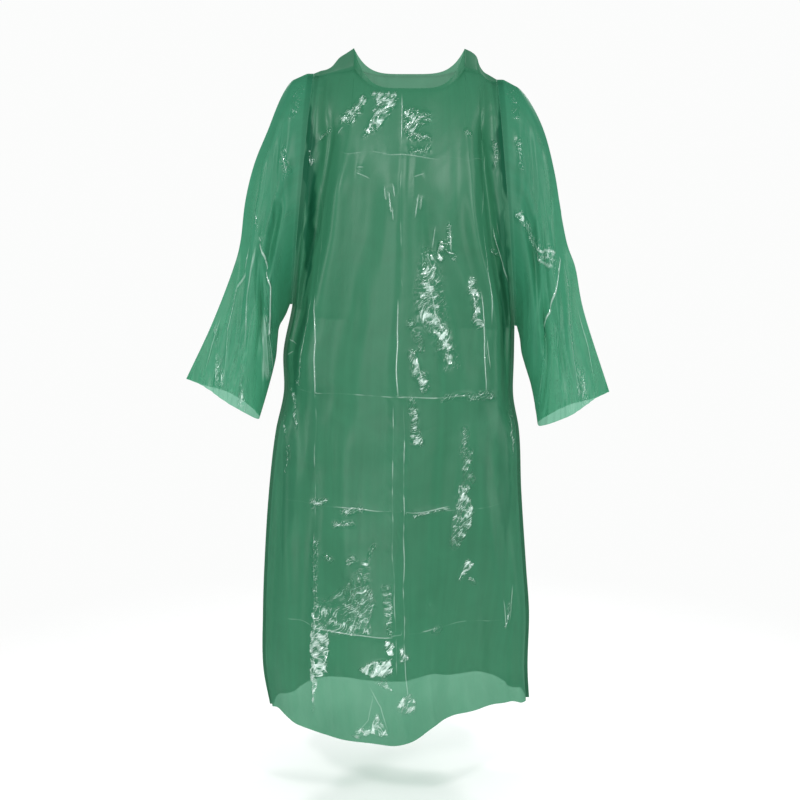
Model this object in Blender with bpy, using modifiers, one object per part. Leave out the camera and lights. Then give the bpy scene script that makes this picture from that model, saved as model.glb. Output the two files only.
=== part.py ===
# Calving gown of thin green polyethylene film, as worn: hollow, with open neck, cuffs and hem.
# Metres, +Z up, the front faces -Y. The origin lies between the shoulders, where the gown is carried.
# Four cut pieces: front panel, back panel and two sleeves, each a thin wall. A panel's wall is parted
# into three solids, which together are one uncut piece of film.

import math

import bmesh
import bpy

# Film and seams
FILM_WALL = 0.0012
SEAM_GAP = 0.0003
SEAL_MARGIN = 0.005
SEAL_SPREAD = 0.0008
SIDE_SPREAD = 0.0002
SIDE_FIN = 0.008
ARMHOLE_BAND = 0.012
ARMPIT_BAND = 0.004
ARMPIT_LIFT = 0.002

# Armholes and neck. A power of 1 is a plain arc, a higher one keeps the curve flat for longer.
FRONT_ARMHOLE_DEPTH = 0.076
BACK_ARMHOLE_DEPTH = 0.074
ARMPIT_TAPER = 2.0
NECK_LEFT_X = -0.096
NECK_RIGHT_X = 0.111
NECK_FRONT_Z = -0.016
NECK_FRONT_Y = -0.064
NECK_BACK_Z = 0.012
NECK_BACK_Y = 0.056
NECK_LIP = 0.004
NECK_RISE_POWER = 4.6
NECK_CLOSE_POWER = 3.0
NECK_TIP_POWER = 6.0
EAR_SPREAD = 0.10

# How the body stands between its edges
SKIRT_FULLNESS = 0.86
SHOULDER_SOFTNESS = 0.6
SOFTNESS_END = 0.55
SHOULDER_SLIDE = 0.62
NECK_ROUNDNESS = 1.5
FOLD_SPREAD = 0.6
ARMPIT_SETTLE = 0.25

# How a sleeve stands between its outer fold and its seam
SLEEVE_SPREAD = 0.0016
SLEEVE_EDGE = 0.011
SLEEVE_FULLNESS_TOP = 0.5
SLEEVE_FULLNESS_CUFF = 0.42
SLEEVE_SETTLE = 0.30
FIN_ROOT = 0.4
FIN_OPENING = 0.25
FIN_START = 0.35
FIN_FULL = 0.75

# Counts of the grids
SHOULDER_STEPS = 6
NECK_STEPS = 18
PANEL_STEPS = 2 * SHOULDER_STEPS + NECK_STEPS
YOKE_STEPS = 12
SKIRT_STEPS = 18
SLEEVE_STEPS = 15

# Rows where a panel's wall is parted into solids
CHEST_ROW = 5
WAIST_ROW = 15

# Where each sleeve meets the body: top of the shoulder and bottom of the armhole
ARMHOLE_COLUMNS = ("shoulder_x", "shoulder_z", "armpit_x", "armpit_z")
ARMHOLES = {
    "left": (-0.172, 0.012, -0.218, -0.426),
    "right": (0.172, 0.001, 0.2115, -0.468),
}

# Shoulder seam from the armhole (0) to the neck (1): the sealed edge, and the fold where the film
# leaves the sealed edge and runs over the shoulder. The edge stands up as an ear beside the neck.
SHOULDER_COLUMNS = ("along", "x", "edge_z", "fold_z")
SHOULDERS = {
    "left": (
        (0.00, -0.172, 0.012, 0.007),
        (0.17, -0.159, 0.017, 0.009),
        (0.34, -0.147, 0.020, 0.011),
        (0.50, -0.137, 0.026, 0.013),
        (0.67, -0.124, 0.041, 0.015),
        (0.84, -0.110, 0.050, 0.017),
        (1.00, NECK_LEFT_X, 0.059, 0.020),
    ),
    "right": (
        (0.00, 0.172, 0.001, -0.004),
        (0.17, 0.158, 0.009, 0.001),
        (0.34, 0.147, 0.016, 0.005),
        (0.50, 0.139, 0.028, 0.009),
        (0.67, 0.134, 0.043, 0.012),
        (0.84, 0.124, 0.052, 0.015),
        (1.00, NECK_RIGHT_X, 0.058, 0.018),
    ),
}

# Level sections of the body, from the shoulders to the hem
BODY_COLUMNS = ("height", "left_x", "right_x", "front_depth", "back_depth")
BODY_ROWS = (
    (0.020, -0.172, 0.172, 0.088, 0.080),
    (-0.100, -0.185, 0.181, 0.114, 0.108),
    (-0.200, -0.194, 0.189, 0.127, 0.116),
    (-0.320, -0.207, 0.199, 0.133, 0.114),
    (-0.426, -0.218, 0.208, 0.136, 0.110),
    (-0.515, -0.236, 0.2105, 0.139, 0.107),
    (-0.596, -0.2365, 0.210, 0.141, 0.107),
    (-0.672, -0.253, 0.223, 0.144, 0.114),
    (-0.790, -0.268, 0.229, 0.148, 0.128),
    (-0.950, -0.280, 0.241, 0.153, 0.142),
    (-1.040, -0.284, 0.248, 0.157, 0.150),
    (-1.160, -0.285, 0.247, 0.162, 0.158),
    (-1.240, -0.272, 0.252, 0.165, 0.162),
)

# Height of the cut edge across the hem, from the left side seam (0) to the right one (1)
HEM_COLUMNS = ("across", "front_z", "back_z")
HEM_ROWS = (
    (0.00, -1.236, -1.236),
    (0.10, -1.224, -1.232),
    (0.25, -1.232, -1.236),
    (0.42, -1.235, -1.240),
    (0.53, -1.241, -1.236),
    (0.60, -1.223, -1.232),
    (0.70, -1.219, -1.227),
    (0.79, -1.203, -1.222),
    (0.90, -1.207, -1.218),
    (1.00, -1.222, -1.222),
)

# Largest folds of a panel. Depth is outward, troughs are negative. A fold runs from across_top at
# its start to across_end at its end, fades in from start to full and out from fade to end. One
# that runs out through the hem fades only below it.
UNDER_HEM = -2.0
FAR_UNDER_HEM = -2.1
FOLD_COLUMNS = (
    "across_top", "across_end", "left_reach", "right_reach", "depth", "start", "full", "fade", "end",
)
FRONT_FOLDS = (
    (0.44, 0.47, 0.36, 0.11, 0.044, -0.70, -1.18, UNDER_HEM, FAR_UNDER_HEM),
    (0.66, 0.67, 0.12, 0.26, -0.052, -0.78, -1.18, UNDER_HEM, FAR_UNDER_HEM),
    (0.09, 0.12, 0.08, 0.10, -0.026, -0.02, -0.12, -0.42, -0.66),
    (0.91, 0.88, 0.10, 0.08, -0.026, -0.02, -0.12, -0.44, -0.70),
    (0.21, 0.23, 0.07, 0.08, 0.012, -0.08, -0.22, -0.56, -0.66),
    (0.79, 0.86, 0.07, 0.07, 0.014, -0.16, -0.28, -0.54, -0.68),
    (0.60, 0.70, 0.08, 0.08, -0.011, -0.18, -0.30, -0.50, -0.64),
    (0.36, 0.31, 0.08, 0.08, -0.009, -0.10, -0.26, -0.56, -0.76),
    (0.50, 0.50, 0.036, 0.036, 0.004, -0.02, -0.08, -1.05, -1.25),
    (0.13, 0.10, 0.07, 0.08, -0.016, -0.66, -0.92, -1.15, -1.30),
    (0.26, 0.25, 0.06, 0.06, -0.012, -0.64, -0.86, -1.10, -1.28),
    (0.78, 0.80, 0.07, 0.06, 0.012, -0.70, -0.92, -1.14, -1.30),
    (0.88, 0.90, 0.06, 0.07, 0.012, -0.80, -1.10, UNDER_HEM, FAR_UNDER_HEM),
)
BACK_FOLDS = (
    (0.50, 0.50, 0.15, 0.15, -0.034, -0.12, -0.55, UNDER_HEM, FAR_UNDER_HEM),
    (0.32, 0.30, 0.13, 0.12, 0.026, -0.26, -0.95, UNDER_HEM, FAR_UNDER_HEM),
    (0.70, 0.73, 0.12, 0.13, 0.028, -0.30, -1.00, UNDER_HEM, FAR_UNDER_HEM),
    (0.09, 0.12, 0.08, 0.10, -0.024, -0.02, -0.12, -0.44, -0.80),
    (0.91, 0.87, 0.10, 0.08, -0.024, -0.02, -0.12, -0.48, -0.84),
    (0.42, 0.38, 0.07, 0.08, 0.014, -0.14, -0.30, -0.72, -0.98),
    (0.66, 0.62, 0.08, 0.07, -0.012, -0.18, -0.34, -0.66, -0.90),
    (0.15, 0.14, 0.08, 0.09, -0.026, -0.72, -1.12, UNDER_HEM, FAR_UNDER_HEM),
    (0.86, 0.87, 0.08, 0.07, -0.024, -0.70, -1.10, UNDER_HEM, FAR_UNDER_HEM),
    (0.60, 0.58, 0.07, 0.07, 0.020, -0.66, -1.08, UNDER_HEM, FAR_UNDER_HEM),
)

# Sections of a sleeve, from the armhole (0) to the cuff (1). Each runs from the outer fold of the
# sleeve to the seam under the arm. Fin is the share of it where the film lies flat on itself.
SLEEVE_COLUMNS = (
    "along", "outer_x", "outer_z", "inner_x", "inner_z", "front", "back", "middle_y", "fin", "bow",
)
SLEEVES = {
    "left": (
        (0.00, -0.190, 0.007, -0.224, -0.430, 0.076, 0.074, 0.000, 0.012, 0.000),
        (0.08, -0.215, -0.003, -0.230, -0.443, 0.080, 0.078, 0.000, 0.014, 0.000),
        (0.14, -0.234, -0.032, -0.236, -0.454, 0.080, 0.078, 0.000, 0.016, 0.000),
        (0.22, -0.258, -0.089, -0.241, -0.462, 0.078, 0.076, -0.001, 0.02, 0.000),
        (0.34, -0.285, -0.153, -0.246, -0.478, 0.073, 0.071, -0.003, 0.04, 0.000),
        (0.46, -0.303, -0.221, -0.248, -0.500, 0.067, 0.066, -0.006, 0.07, 0.000),
        (0.58, -0.314, -0.300, -0.250, -0.525, 0.061, 0.060, -0.010, 0.12, 0.000),
        (0.68, -0.327, -0.348, -0.255, -0.548, 0.056, 0.056, -0.014, 0.22, 0.000),
        (0.84, -0.371, -0.459, -0.268, -0.596, 0.050, 0.050, -0.022, 0.32, -0.001),
        (1.00, -0.422, -0.565, -0.282, -0.642, 0.049, 0.047, -0.030, 0.34, -0.006),
    ),
    "right": (
        (0.00, 0.190, -0.005, 0.216, -0.472, 0.076, 0.074, 0.000, 0.012, 0.000),
        (0.08, 0.214, -0.015, 0.219, -0.478, 0.080, 0.078, 0.000, 0.014, 0.000),
        (0.14, 0.235, -0.040, 0.221, -0.486, 0.080, 0.078, 0.000, 0.016, 0.000),
        (0.22, 0.260, -0.089, 0.223, -0.497, 0.078, 0.076, -0.001, 0.02, 0.000),
        (0.34, 0.282, -0.168, 0.226, -0.519, 0.073, 0.071, -0.003, 0.04, 0.000),
        (0.46, 0.296, -0.247, 0.232, -0.541, 0.067, 0.066, -0.006, 0.07, 0.000),
        (0.58, 0.310, -0.309, 0.239, -0.563, 0.061, 0.060, -0.010, 0.14, 0.000),
        (0.68, 0.325, -0.350, 0.244, -0.580, 0.056, 0.056, -0.014, 0.22, 0.000),
        (0.84, 0.343, -0.437, 0.251, -0.615, 0.050, 0.050, -0.022, 0.30, 0.000),
        (1.00, 0.394, -0.590, 0.257, -0.655, 0.049, 0.047, -0.030, 0.34, 0.000),
    ),
}

# Folds of a sleeve: place along it and across its section (0 outer fold, 1 under the arm), reach in
# both directions, lean of the fold as it runs along, depth outward
SLEEVE_FOLD_COLUMNS = ("along", "across", "along_reach", "across_reach", "lean", "depth")
FRONT_SLEEVE_FOLDS = (
    (0.24, 0.55, 0.22, 0.13, 0.45, -0.018),
    (0.46, 0.36, 0.26, 0.11, 0.30, 0.009),
    (0.56, 0.62, 0.22, 0.12, 0.40, -0.016),
    (0.84, 0.50, 0.26, 0.11, 0.10, -0.010),
)
BACK_SLEEVE_FOLDS = (
    (0.26, 0.60, 0.24, 0.13, 0.40, -0.017),
    (0.52, 0.70, 0.22, 0.12, 0.35, -0.014),
    (0.60, 0.42, 0.24, 0.11, 0.25, 0.009),
    (0.86, 0.60, 0.24, 0.12, -0.10, -0.009),
)

# Colour of each piece's film
FILM_COLOURS = {
    "front_panel": (0.075, 0.300, 0.160, 1.0),
    "back_panel": (0.070, 0.285, 0.150, 1.0),
    "left_sleeve": (0.085, 0.330, 0.185, 1.0),
    "right_sleeve": (0.085, 0.330, 0.185, 1.0),
}
FILM_ROUGHNESS = 0.22


def smooth_step(low, high, value):
    """0 below low, 1 above high, an S-curve between. Works downward too."""
    share = (value - low) / (high - low)
    share = min(1.0, max(0.0, share))
    return share * share * (3.0 - 2.0 * share)


def mix(first, second, share):
    return first + (second - first) * share


def read_table(columns, rows, key, name, at):
    """Smooth value of a table's column at a place in its key column."""
    keys = [row[columns.index(key)] for row in rows]
    values = [row[columns.index(name)] for row in rows]
    if keys[0] > keys[-1]:
        keys.reverse()
        values.reverse()
    at = min(keys[-1], max(keys[0], at))
    slopes = [(values[i + 1] - values[i]) / (keys[i + 1] - keys[i]) for i in range(len(keys) - 1)]
    i = 0
    while i < len(slopes) - 1 and at > keys[i + 1]:
        i += 1
    before = slopes[max(0, i - 1)]
    after = slopes[min(len(slopes) - 1, i + 1)]
    span = keys[i + 1] - keys[i]
    start_slope = 0.5 * (before + slopes[i]) * span
    end_slope = 0.5 * (slopes[i] + after) * span
    t = (at - keys[i]) / span
    rise = t * t * (3.0 - 2.0 * t)
    return (
        mix(values[i], values[i + 1], rise)
        + start_slope * t * (1.0 - t) ** 2
        - end_slope * t * t * (1.0 - t)
    )


def body_size(name, height):
    return read_table(BODY_COLUMNS, BODY_ROWS, "height", name, height)


def fold_depth(folds, across, height):
    """How far the folds push a point of a panel outward."""
    total = 0.0
    lowest = BODY_ROWS[-1][0]
    for row in folds:
        fold = dict(zip(FOLD_COLUMNS, row))
        run = smooth_step(fold["start"], max(fold["end"], lowest), height)
        crest = mix(fold["across_top"], fold["across_end"], run)
        reach = fold["left_reach"] if across < crest else fold["right_reach"]
        away = abs(across - crest) / reach
        if away < 1.0:
            strength = smooth_step(fold["start"], fold["full"], height)
            strength *= 1.0 - smooth_step(fold["fade"], fold["end"], height)
            total += fold["depth"] * strength * math.cos(0.5 * math.pi * away) ** 2
    return total


def yoke_turn(row):
    """Half turn from the fold over the shoulder (row 1) down to the armpit (last row)."""
    return math.pi * (row - 1) / (YOKE_STEPS - 1)


def yoke_down(row):
    """Share of the way down the armhole at a row, 0 at the shoulder and 1 at the armpit."""
    return (1.0 - math.cos(yoke_turn(row))) / 2.0


def armhole_point(side, facing, row):
    """A point of the armhole seam. Facing is -1 on the front half and 1 on the back half."""
    sizes = dict(zip(ARMHOLE_COLUMNS, ARMHOLES[side]))
    if row == 0:
        return (sizes["shoulder_x"], facing * SEAM_GAP / 2, sizes["shoulder_z"])
    turn = yoke_turn(row)
    down = yoke_down(row)
    fold_z = sizes["shoulder_z"] - SEAL_MARGIN
    depth = FRONT_ARMHOLE_DEPTH if facing < 0 else BACK_ARMHOLE_DEPTH
    bulge = math.sin(turn) if turn < math.pi / 2 else math.sin(turn) ** ARMPIT_TAPER
    lip = SEAM_GAP / 2 if row == YOKE_STEPS else SEAM_GAP / 2 + SEAL_SPREAD
    return (
        mix(sizes["shoulder_x"], sizes["armpit_x"], down),
        facing * (lip + depth * bulge),
        mix(fold_z, sizes["armpit_z"], down),
    )


def shoulder_points(facing, step):
    """Sealed edge of the shoulder at a column, and the fold just under it."""
    side = "left" if step <= SHOULDER_STEPS else "right"
    along = min(step, PANEL_STEPS - step) / SHOULDER_STEPS
    x, edge_z, fold_z = (
        read_table(SHOULDER_COLUMNS, SHOULDERS[side], "along", name, along)
        for name in SHOULDER_COLUMNS[1:]
    )
    spread = SEAL_SPREAD + EAR_SPREAD * max(0.0, edge_z - fold_z - SEAL_MARGIN)
    edge = (x, facing * SEAM_GAP / 2, edge_z)
    fold = (x, facing * (SEAM_GAP / 2 + spread), fold_z)
    return edge, fold


def neck_points(facing, step):
    """Cut edge of the neck at a column, and the point just under it."""
    middle = (NECK_LEFT_X + NECK_RIGHT_X) / 2
    half = (NECK_RIGHT_X - NECK_LEFT_X) / 2
    away = -math.cos(math.pi * (step - SHOULDER_STEPS) / NECK_STEPS)
    tip_row = SHOULDERS["left"][-1] if away < 0 else SHOULDERS["right"][-1]
    tip = dict(zip(SHOULDER_COLUMNS, tip_row))
    scoop_z = NECK_FRONT_Z if facing < 0 else NECK_BACK_Z
    scoop_y = NECK_FRONT_Y if facing < 0 else NECK_BACK_Y
    x = middle + half * away
    edge_y = mix(scoop_y, facing * SEAM_GAP / 2, abs(away) ** NECK_CLOSE_POWER)
    edge_z = mix(scoop_z, tip["edge_z"], abs(away) ** NECK_RISE_POWER)
    drop = mix(SEAL_MARGIN, tip["edge_z"] - tip["fold_z"], abs(away) ** NECK_TIP_POWER)
    return (x, edge_y, edge_z), (x, edge_y + facing * NECK_LIP, edge_z - drop)


def top_edge(facing, step):
    """Edge point of a panel's column, and the fold point just under it."""
    if SHOULDER_STEPS < step < PANEL_STEPS - SHOULDER_STEPS:
        return neck_points(facing, step)
    return shoulder_points(facing, step)


def section_point(facing, across, height, softness, edge_x, edge_y):
    """Point of a level section between its two edges. Softness 1 gives a shallow, open curve."""
    left_x, right_x = edge_x
    middle = (left_x + right_x) / 2
    half = (right_x - left_x) / 2
    spread = mix(-math.cos(math.pi * across), 2.0 * across - 1.0, softness)
    depth = body_size("front_depth" if facing < 0 else "back_depth", height)
    folds = FRONT_FOLDS if facing < 0 else BACK_FOLDS
    swell = math.sin(math.pi * across) ** mix(SKIRT_FULLNESS, 1.0, softness)
    outward = fold_depth(folds, across, height)
    centred = 1.0 - abs(2.0 * across - 1.0)
    x = middle + half * spread + outward * spread * centred * FOLD_SPREAD
    return x, facing * (edge_y + (depth - edge_y) * swell + outward)


def column_across(step):
    return (step - 1) / (PANEL_STEPS - 2)


def yoke_edge_point(facing, step, row):
    """The two outer columns of a panel beside the armhole: the seam, and the end of its band."""
    side = "left" if step <= 1 else "right"
    x, y, z = armhole_point(side, facing, row)
    if step in (0, PANEL_STEPS):
        return (x, y, z)
    inward = 1.0 if side == "left" else -1.0
    return (x + inward * mix(ARMHOLE_BAND, SIDE_FIN, yoke_down(row)), y, z)


def yoke_point(facing, step, row):
    """Point of a panel between its top edge and the level of the armpits."""
    if step in (0, 1, PANEL_STEPS - 1, PANEL_STEPS) and row > 0:
        return yoke_edge_point(facing, step, row)
    edge, fold = top_edge(facing, step)
    if row == 0:
        return edge
    if row == 1:
        return fold
    across = column_across(step)
    down = yoke_down(row)
    left = armhole_point("left", facing, row)
    right = armhole_point("right", facing, row)
    armpit_z = mix(ARMHOLES["left"][3], ARMHOLES["right"][3], across)
    height = mix(fold[2], armpit_z, down)
    edge_y = mix(abs(left[1]), abs(right[1]), across)
    band = mix(ARMHOLE_BAND, SIDE_FIN, down)
    softness = SHOULDER_SOFTNESS * (1.0 - smooth_step(SOFTNESS_END, 1.0, down))
    x, y = section_point(facing, across, height, softness, (left[0] + band, right[0] - band), edge_y)
    neck_share = 1.0
    if facing < 0:
        neck_share = 1.0 - min(1.0, abs(edge[1]) / abs(NECK_FRONT_Y))
    swell = math.sin(min(yoke_turn(row), math.pi / 2)) ** mix(NECK_ROUNDNESS, 1.0, neck_share)
    slide = smooth_step(0.0, SHOULDER_SLIDE, down)
    return (mix(fold[0], x, slide), mix(fold[1], y, swell), height)


def skirt_point(facing, step, row):
    """Point of a panel between the level of the armpits (row 0) and the hem (last row)."""
    share = row / SKIRT_STEPS
    across = min(1.0, max(0.0, column_across(step)))
    armpit_z = mix(ARMHOLES["left"][3], ARMHOLES["right"][3], across)
    hem_name = "front_z" if facing < 0 else "back_z"
    hem_z = read_table(HEM_COLUMNS, HEM_ROWS, "across", hem_name, across)
    height = mix(armpit_z, hem_z, share)
    settle = 1.0 - smooth_step(0.0, ARMPIT_SETTLE, share)
    left_x = body_size("left_x", height)
    right_x = mix(body_size("right_x", height), ARMHOLES["right"][2], settle)
    if step == 0:
        return (left_x, facing * SEAM_GAP / 2, height)
    if step == PANEL_STEPS:
        return (right_x, facing * SEAM_GAP / 2, height)
    edge_x = (left_x + SIDE_FIN, right_x - SIDE_FIN)
    x, y = section_point(facing, across, height, 0.0, edge_x, SEAM_GAP / 2 + SIDE_SPREAD)
    return (x, y, height)


def panel_rows(facing):
    rows = []
    for row in range(YOKE_STEPS):
        rows.append([yoke_point(facing, step, row) for step in range(PANEL_STEPS + 1)])
    for row in range(SKIRT_STEPS + 1):
        rows.append([skirt_point(facing, step, row) for step in range(PANEL_STEPS + 1)])
    return rows


def ring_places():
    """Facing and row of each point of a sleeve's ring: front half from the outer fold, then back."""
    front = [(-1, row) for row in range(YOKE_STEPS + 1)]
    back = [(1, row) for row in range(YOKE_STEPS - 1, 0, -1)]
    return front + back


def sleeve_down(row):
    """Share of the way from the sleeve's outer fold (0) to the seam under the arm (1)."""
    if row == 0:
        return 0.0
    if row == 1:
        return SLEEVE_EDGE
    return yoke_down(row)


def sleeve_fold_depth(facing, along, down):
    folds = FRONT_SLEEVE_FOLDS if facing < 0 else BACK_SLEEVE_FOLDS
    total = 0.0
    for row in folds:
        fold = dict(zip(SLEEVE_FOLD_COLUMNS, row))
        off_along = (along - fold["along"]) / fold["along_reach"]
        crest = fold["across"] + fold["lean"] * (along - fold["along"])
        off_across = (down - crest) / fold["across_reach"]
        away = math.hypot(off_along, off_across)
        if away < 1.0:
            total += fold["depth"] * math.cos(0.5 * math.pi * away) ** 2
    return total


def sleeve_outward(facing, row, along, sizes):
    """Distance of a sleeve's wall from the plane through its outer fold and its seam."""
    if row in (0, YOKE_STEPS):
        return 0.0
    down = sleeve_down(row)
    depth = sizes["front"] if facing < 0 else sizes["back"]
    flat = smooth_step(FIN_ROOT * sizes["fin"], sizes["fin"] + FIN_OPENING, down)
    flat = mix(1.0, flat, smooth_step(FIN_START, FIN_FULL, along))
    fullness = mix(SLEEVE_FULLNESS_TOP, SLEEVE_FULLNESS_CUFF, along)
    if down > 0.5:
        fullness = mix(ARMPIT_TAPER / 2, fullness, smooth_step(0.0, SLEEVE_SETTLE, along))
    swell = (4.0 * down * (1.0 - down)) ** fullness
    outward = SLEEVE_SPREAD + depth * swell * flat + sleeve_fold_depth(facing, along, down)
    return max(outward, SLEEVE_SPREAD)


def sleeve_ring(side, along):
    """One closed section of a sleeve, from its outer fold round to the seam and back."""
    sizes = {}
    for name in SLEEVE_COLUMNS[1:]:
        sizes[name] = read_table(SLEEVE_COLUMNS, SLEEVES[side], "along", name, along)
    ring = []
    for facing, row in ring_places():
        down = sleeve_down(row)
        outward = sleeve_outward(facing, row, along, sizes)
        bow = sizes["bow"] * 4.0 * down * (1.0 - down)
        ring.append((
            mix(sizes["outer_x"], sizes["inner_x"], down) + math.copysign(bow / 2, sizes["outer_x"]),
            sizes["middle_y"] + facing * outward,
            mix(sizes["outer_z"], sizes["inner_z"], down) - bow,
        ))
    return ring


def armhole_ring(side, outward):
    """The sleeve's edge along the armhole seam, moved straight out from the body."""
    sign = -1.0 if side == "left" else 1.0
    ring = []
    for facing, row in ring_places():
        x, y, z = armhole_point(side, facing, row)
        down = yoke_down(max(1, row))
        if row in (0, YOKE_STEPS):
            y = 0.0
        if row == YOKE_STEPS:
            z += ARMPIT_LIFT
        reach = SEAM_GAP + outward * mix(ARMHOLE_BAND, ARMPIT_BAND, down)
        ring.append((x + sign * reach, y, z))
    return ring


def sleeve_rings(side):
    rings = [armhole_ring(side, 0.0), armhole_ring(side, 1.0)]
    for step in range(1, SLEEVE_STEPS + 1):
        rings.append(sleeve_ring(side, step / SLEEVE_STEPS))
    return rings


def film_material(name):
    colour = next(value for piece, value in FILM_COLOURS.items() if name.startswith(piece))
    material = bpy.data.materials.new(name + "_film")
    material.use_nodes = True
    shader = material.node_tree.nodes["Principled BSDF"]
    shader.inputs["Base Color"].default_value = colour
    shader.inputs["Roughness"].default_value = FILM_ROUGHNESS
    shader.inputs["Metallic"].default_value = 0.0
    material.diffuse_color = colour
    return material


def film_piece(name, rows, closed, flip, collection):
    """A wall of film through rows of points. Its thickness is added on the outer side."""
    mesh = bpy.data.meshes.new(name)
    shape = bmesh.new()
    grid = [[shape.verts.new(point) for point in row] for row in rows]
    columns = len(grid[0])
    last = columns if closed else columns - 1
    for upper, lower in zip(grid, grid[1:]):
        for i in range(last):
            j = (i + 1) % columns
            corners = (upper[i], lower[i], lower[j], upper[j])
            shape.faces.new(reversed(corners) if flip else corners)
    shape.to_mesh(mesh)
    shape.free()
    mesh.shade_smooth()
    mesh.materials.append(film_material(name))
    piece = bpy.data.objects.new(name, mesh)
    collection.objects.link(piece)
    wall = piece.modifiers.new("Film wall", "SOLIDIFY")
    wall.thickness = FILM_WALL
    wall.offset = 1.0
    wall.use_even_offset = False
    wall.use_rim = True
    return piece


def panel(name, facing, collection):
    """One cut panel. Its wall is in three solids, parted near its packing creases."""
    rows = panel_rows(facing)
    cuts = (0, CHEST_ROW, WAIST_ROW, len(rows) - 1)
    for part, first, last in zip(("_top", "_middle", "_lower"), cuts, cuts[1:]):
        wall = rows[first : last + 1]
        if first > 0:
            wall[0] = [(x, y, z - SEAM_GAP) for x, y, z in wall[0]]
        film_piece(name + part, wall, False, facing > 0, collection)


def build():
    for old in list(bpy.data.objects):
        bpy.data.objects.remove(old, do_unlink=True)
    collection = bpy.data.collections.new("Calving gown")
    bpy.context.scene.collection.children.link(collection)
    panel("front_panel", -1, collection)
    panel("back_panel", 1, collection)
    film_piece("left_sleeve", sleeve_rings("left"), True, True, collection)
    film_piece("right_sleeve", sleeve_rings("right"), True, False, collection)


build()
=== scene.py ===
# Looks of the calving gown: thin translucent green film on the forms of the imported solids.
# Metres, +Z up, the front faces -Y. Lengths across and down the cloth are measured along the film.
# The tables of creases, crumpled places and painted shade in folds are in millimetres.

import math

import bpy
import numpy as np
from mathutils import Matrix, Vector


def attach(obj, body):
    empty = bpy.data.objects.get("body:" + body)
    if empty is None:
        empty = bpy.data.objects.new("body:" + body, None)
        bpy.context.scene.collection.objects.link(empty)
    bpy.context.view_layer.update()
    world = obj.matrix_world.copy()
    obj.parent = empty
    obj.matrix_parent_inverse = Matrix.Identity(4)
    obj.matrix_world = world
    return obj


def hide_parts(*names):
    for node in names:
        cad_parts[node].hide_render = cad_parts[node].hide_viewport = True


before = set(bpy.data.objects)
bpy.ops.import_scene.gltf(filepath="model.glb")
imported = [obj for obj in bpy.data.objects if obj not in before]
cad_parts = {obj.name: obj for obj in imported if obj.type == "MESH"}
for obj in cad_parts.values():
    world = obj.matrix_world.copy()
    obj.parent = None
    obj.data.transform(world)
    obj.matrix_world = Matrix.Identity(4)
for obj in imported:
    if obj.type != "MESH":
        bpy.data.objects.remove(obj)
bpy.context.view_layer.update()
print("frame loaded:", sorted(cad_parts))


# small helpers for numbers

farAway = 9.0  # further than any place on the gown
tiny = 1e-9


def mix(first, second, share):
    return first + (second - first) * share


def smoothStep(low, high, value):  # 0 below low, 1 above high, an S between
    share = np.clip((value - low) / (high - low), 0.0, 1.0)
    return share * share * (3.0 - 2.0 * share)


def readTable(columns, rows, key, name, at):  # smooth value of a column, as the solids read it
    keys = np.array([row[columns.index(key)] for row in rows], float)
    values = np.array([row[columns.index(name)] for row in rows], float)
    if keys[0] > keys[-1]:
        keys, values = keys[::-1], values[::-1]
    at = np.clip(at, keys[0], keys[-1])
    slopes = np.diff(values) / np.diff(keys)
    i = np.clip(np.searchsorted(keys, at, side="left") - 1, 0, len(slopes) - 1)
    before, after = slopes[np.maximum(i - 1, 0)], slopes[np.minimum(i + 1, len(slopes) - 1)]
    span = keys[i + 1] - keys[i]
    t = (at - keys[i]) / span
    level = mix(values[i], values[i + 1], t * t * (3.0 - 2.0 * t))
    start, end = 0.5 * (before + slopes[i]) * span, 0.5 * (slopes[i] + after) * span
    return level + start * t * (1.0 - t) ** 2 - end * t * t * (1.0 - t)


waves = {"count": 5, "sizes": (0.7, 1.6), "level": 3.0}


def wander(place, size, seed):  # gentle uneven field, about -1 to 1, with waves of about this size
    dice = np.random.default_rng(seed)
    total = 0.0
    for _ in range(waves["count"]):
        turn, shift = dice.uniform(0, 2 * math.pi, 2)
        pitch = 2 * math.pi / (size * dice.uniform(*waves["sizes"]))
        along = place[..., 0] * math.cos(turn) + place[..., 1] * math.sin(turn)
        total = total + np.sin(pitch * along + shift)
    return total / waves["level"]


# the cut and stand of the gown, as in the solids

cut = {
    "seamGap": 0.0003,
    "sealMargin": 0.005,
    "sealSpread": 0.0008,
    "sideSpread": 0.0002,
    "sideFin": 0.008,
    "armholeBand": 0.012,
    "armpitBand": 0.004,
    "armpitLift": 0.002,
    "frontArmhole": 0.076,
    "backArmhole": 0.074,
    "armpitTaper": 2.0,
    "neckX": (-0.096, 0.111),
    "frontNeck": (-0.064, -0.016),
    "backNeck": (0.056, 0.012),
    "neckLip": 0.004,
    "neckRise": 4.6,
    "neckClose": 3.0,
    "neckTip": 6.0,
    "earSpread": 0.10,
    "skirtFullness": 0.86,
    "shoulderSoftness": 0.6,
    "softnessEnd": 0.55,
    "shoulderSlide": 0.62,
    "neckRoundness": 1.5,
    "foldSpread": 0.6,
    "armpitSettle": 0.25,
    "bandFade": 2.4,
    "skirtBlend": 9.0,  # from this row on the yoke runs into the skirt
    "filmLift": 0.0006,  # the film runs in the middle of the solid's wall
}
armholes = {"left": (-0.172, 0.012, -0.218, -0.426), "right": (0.172, 0.001, 0.2115, -0.468)}
shoulderColumns = ("along", "x", "edgeZ", "foldZ")
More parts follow.
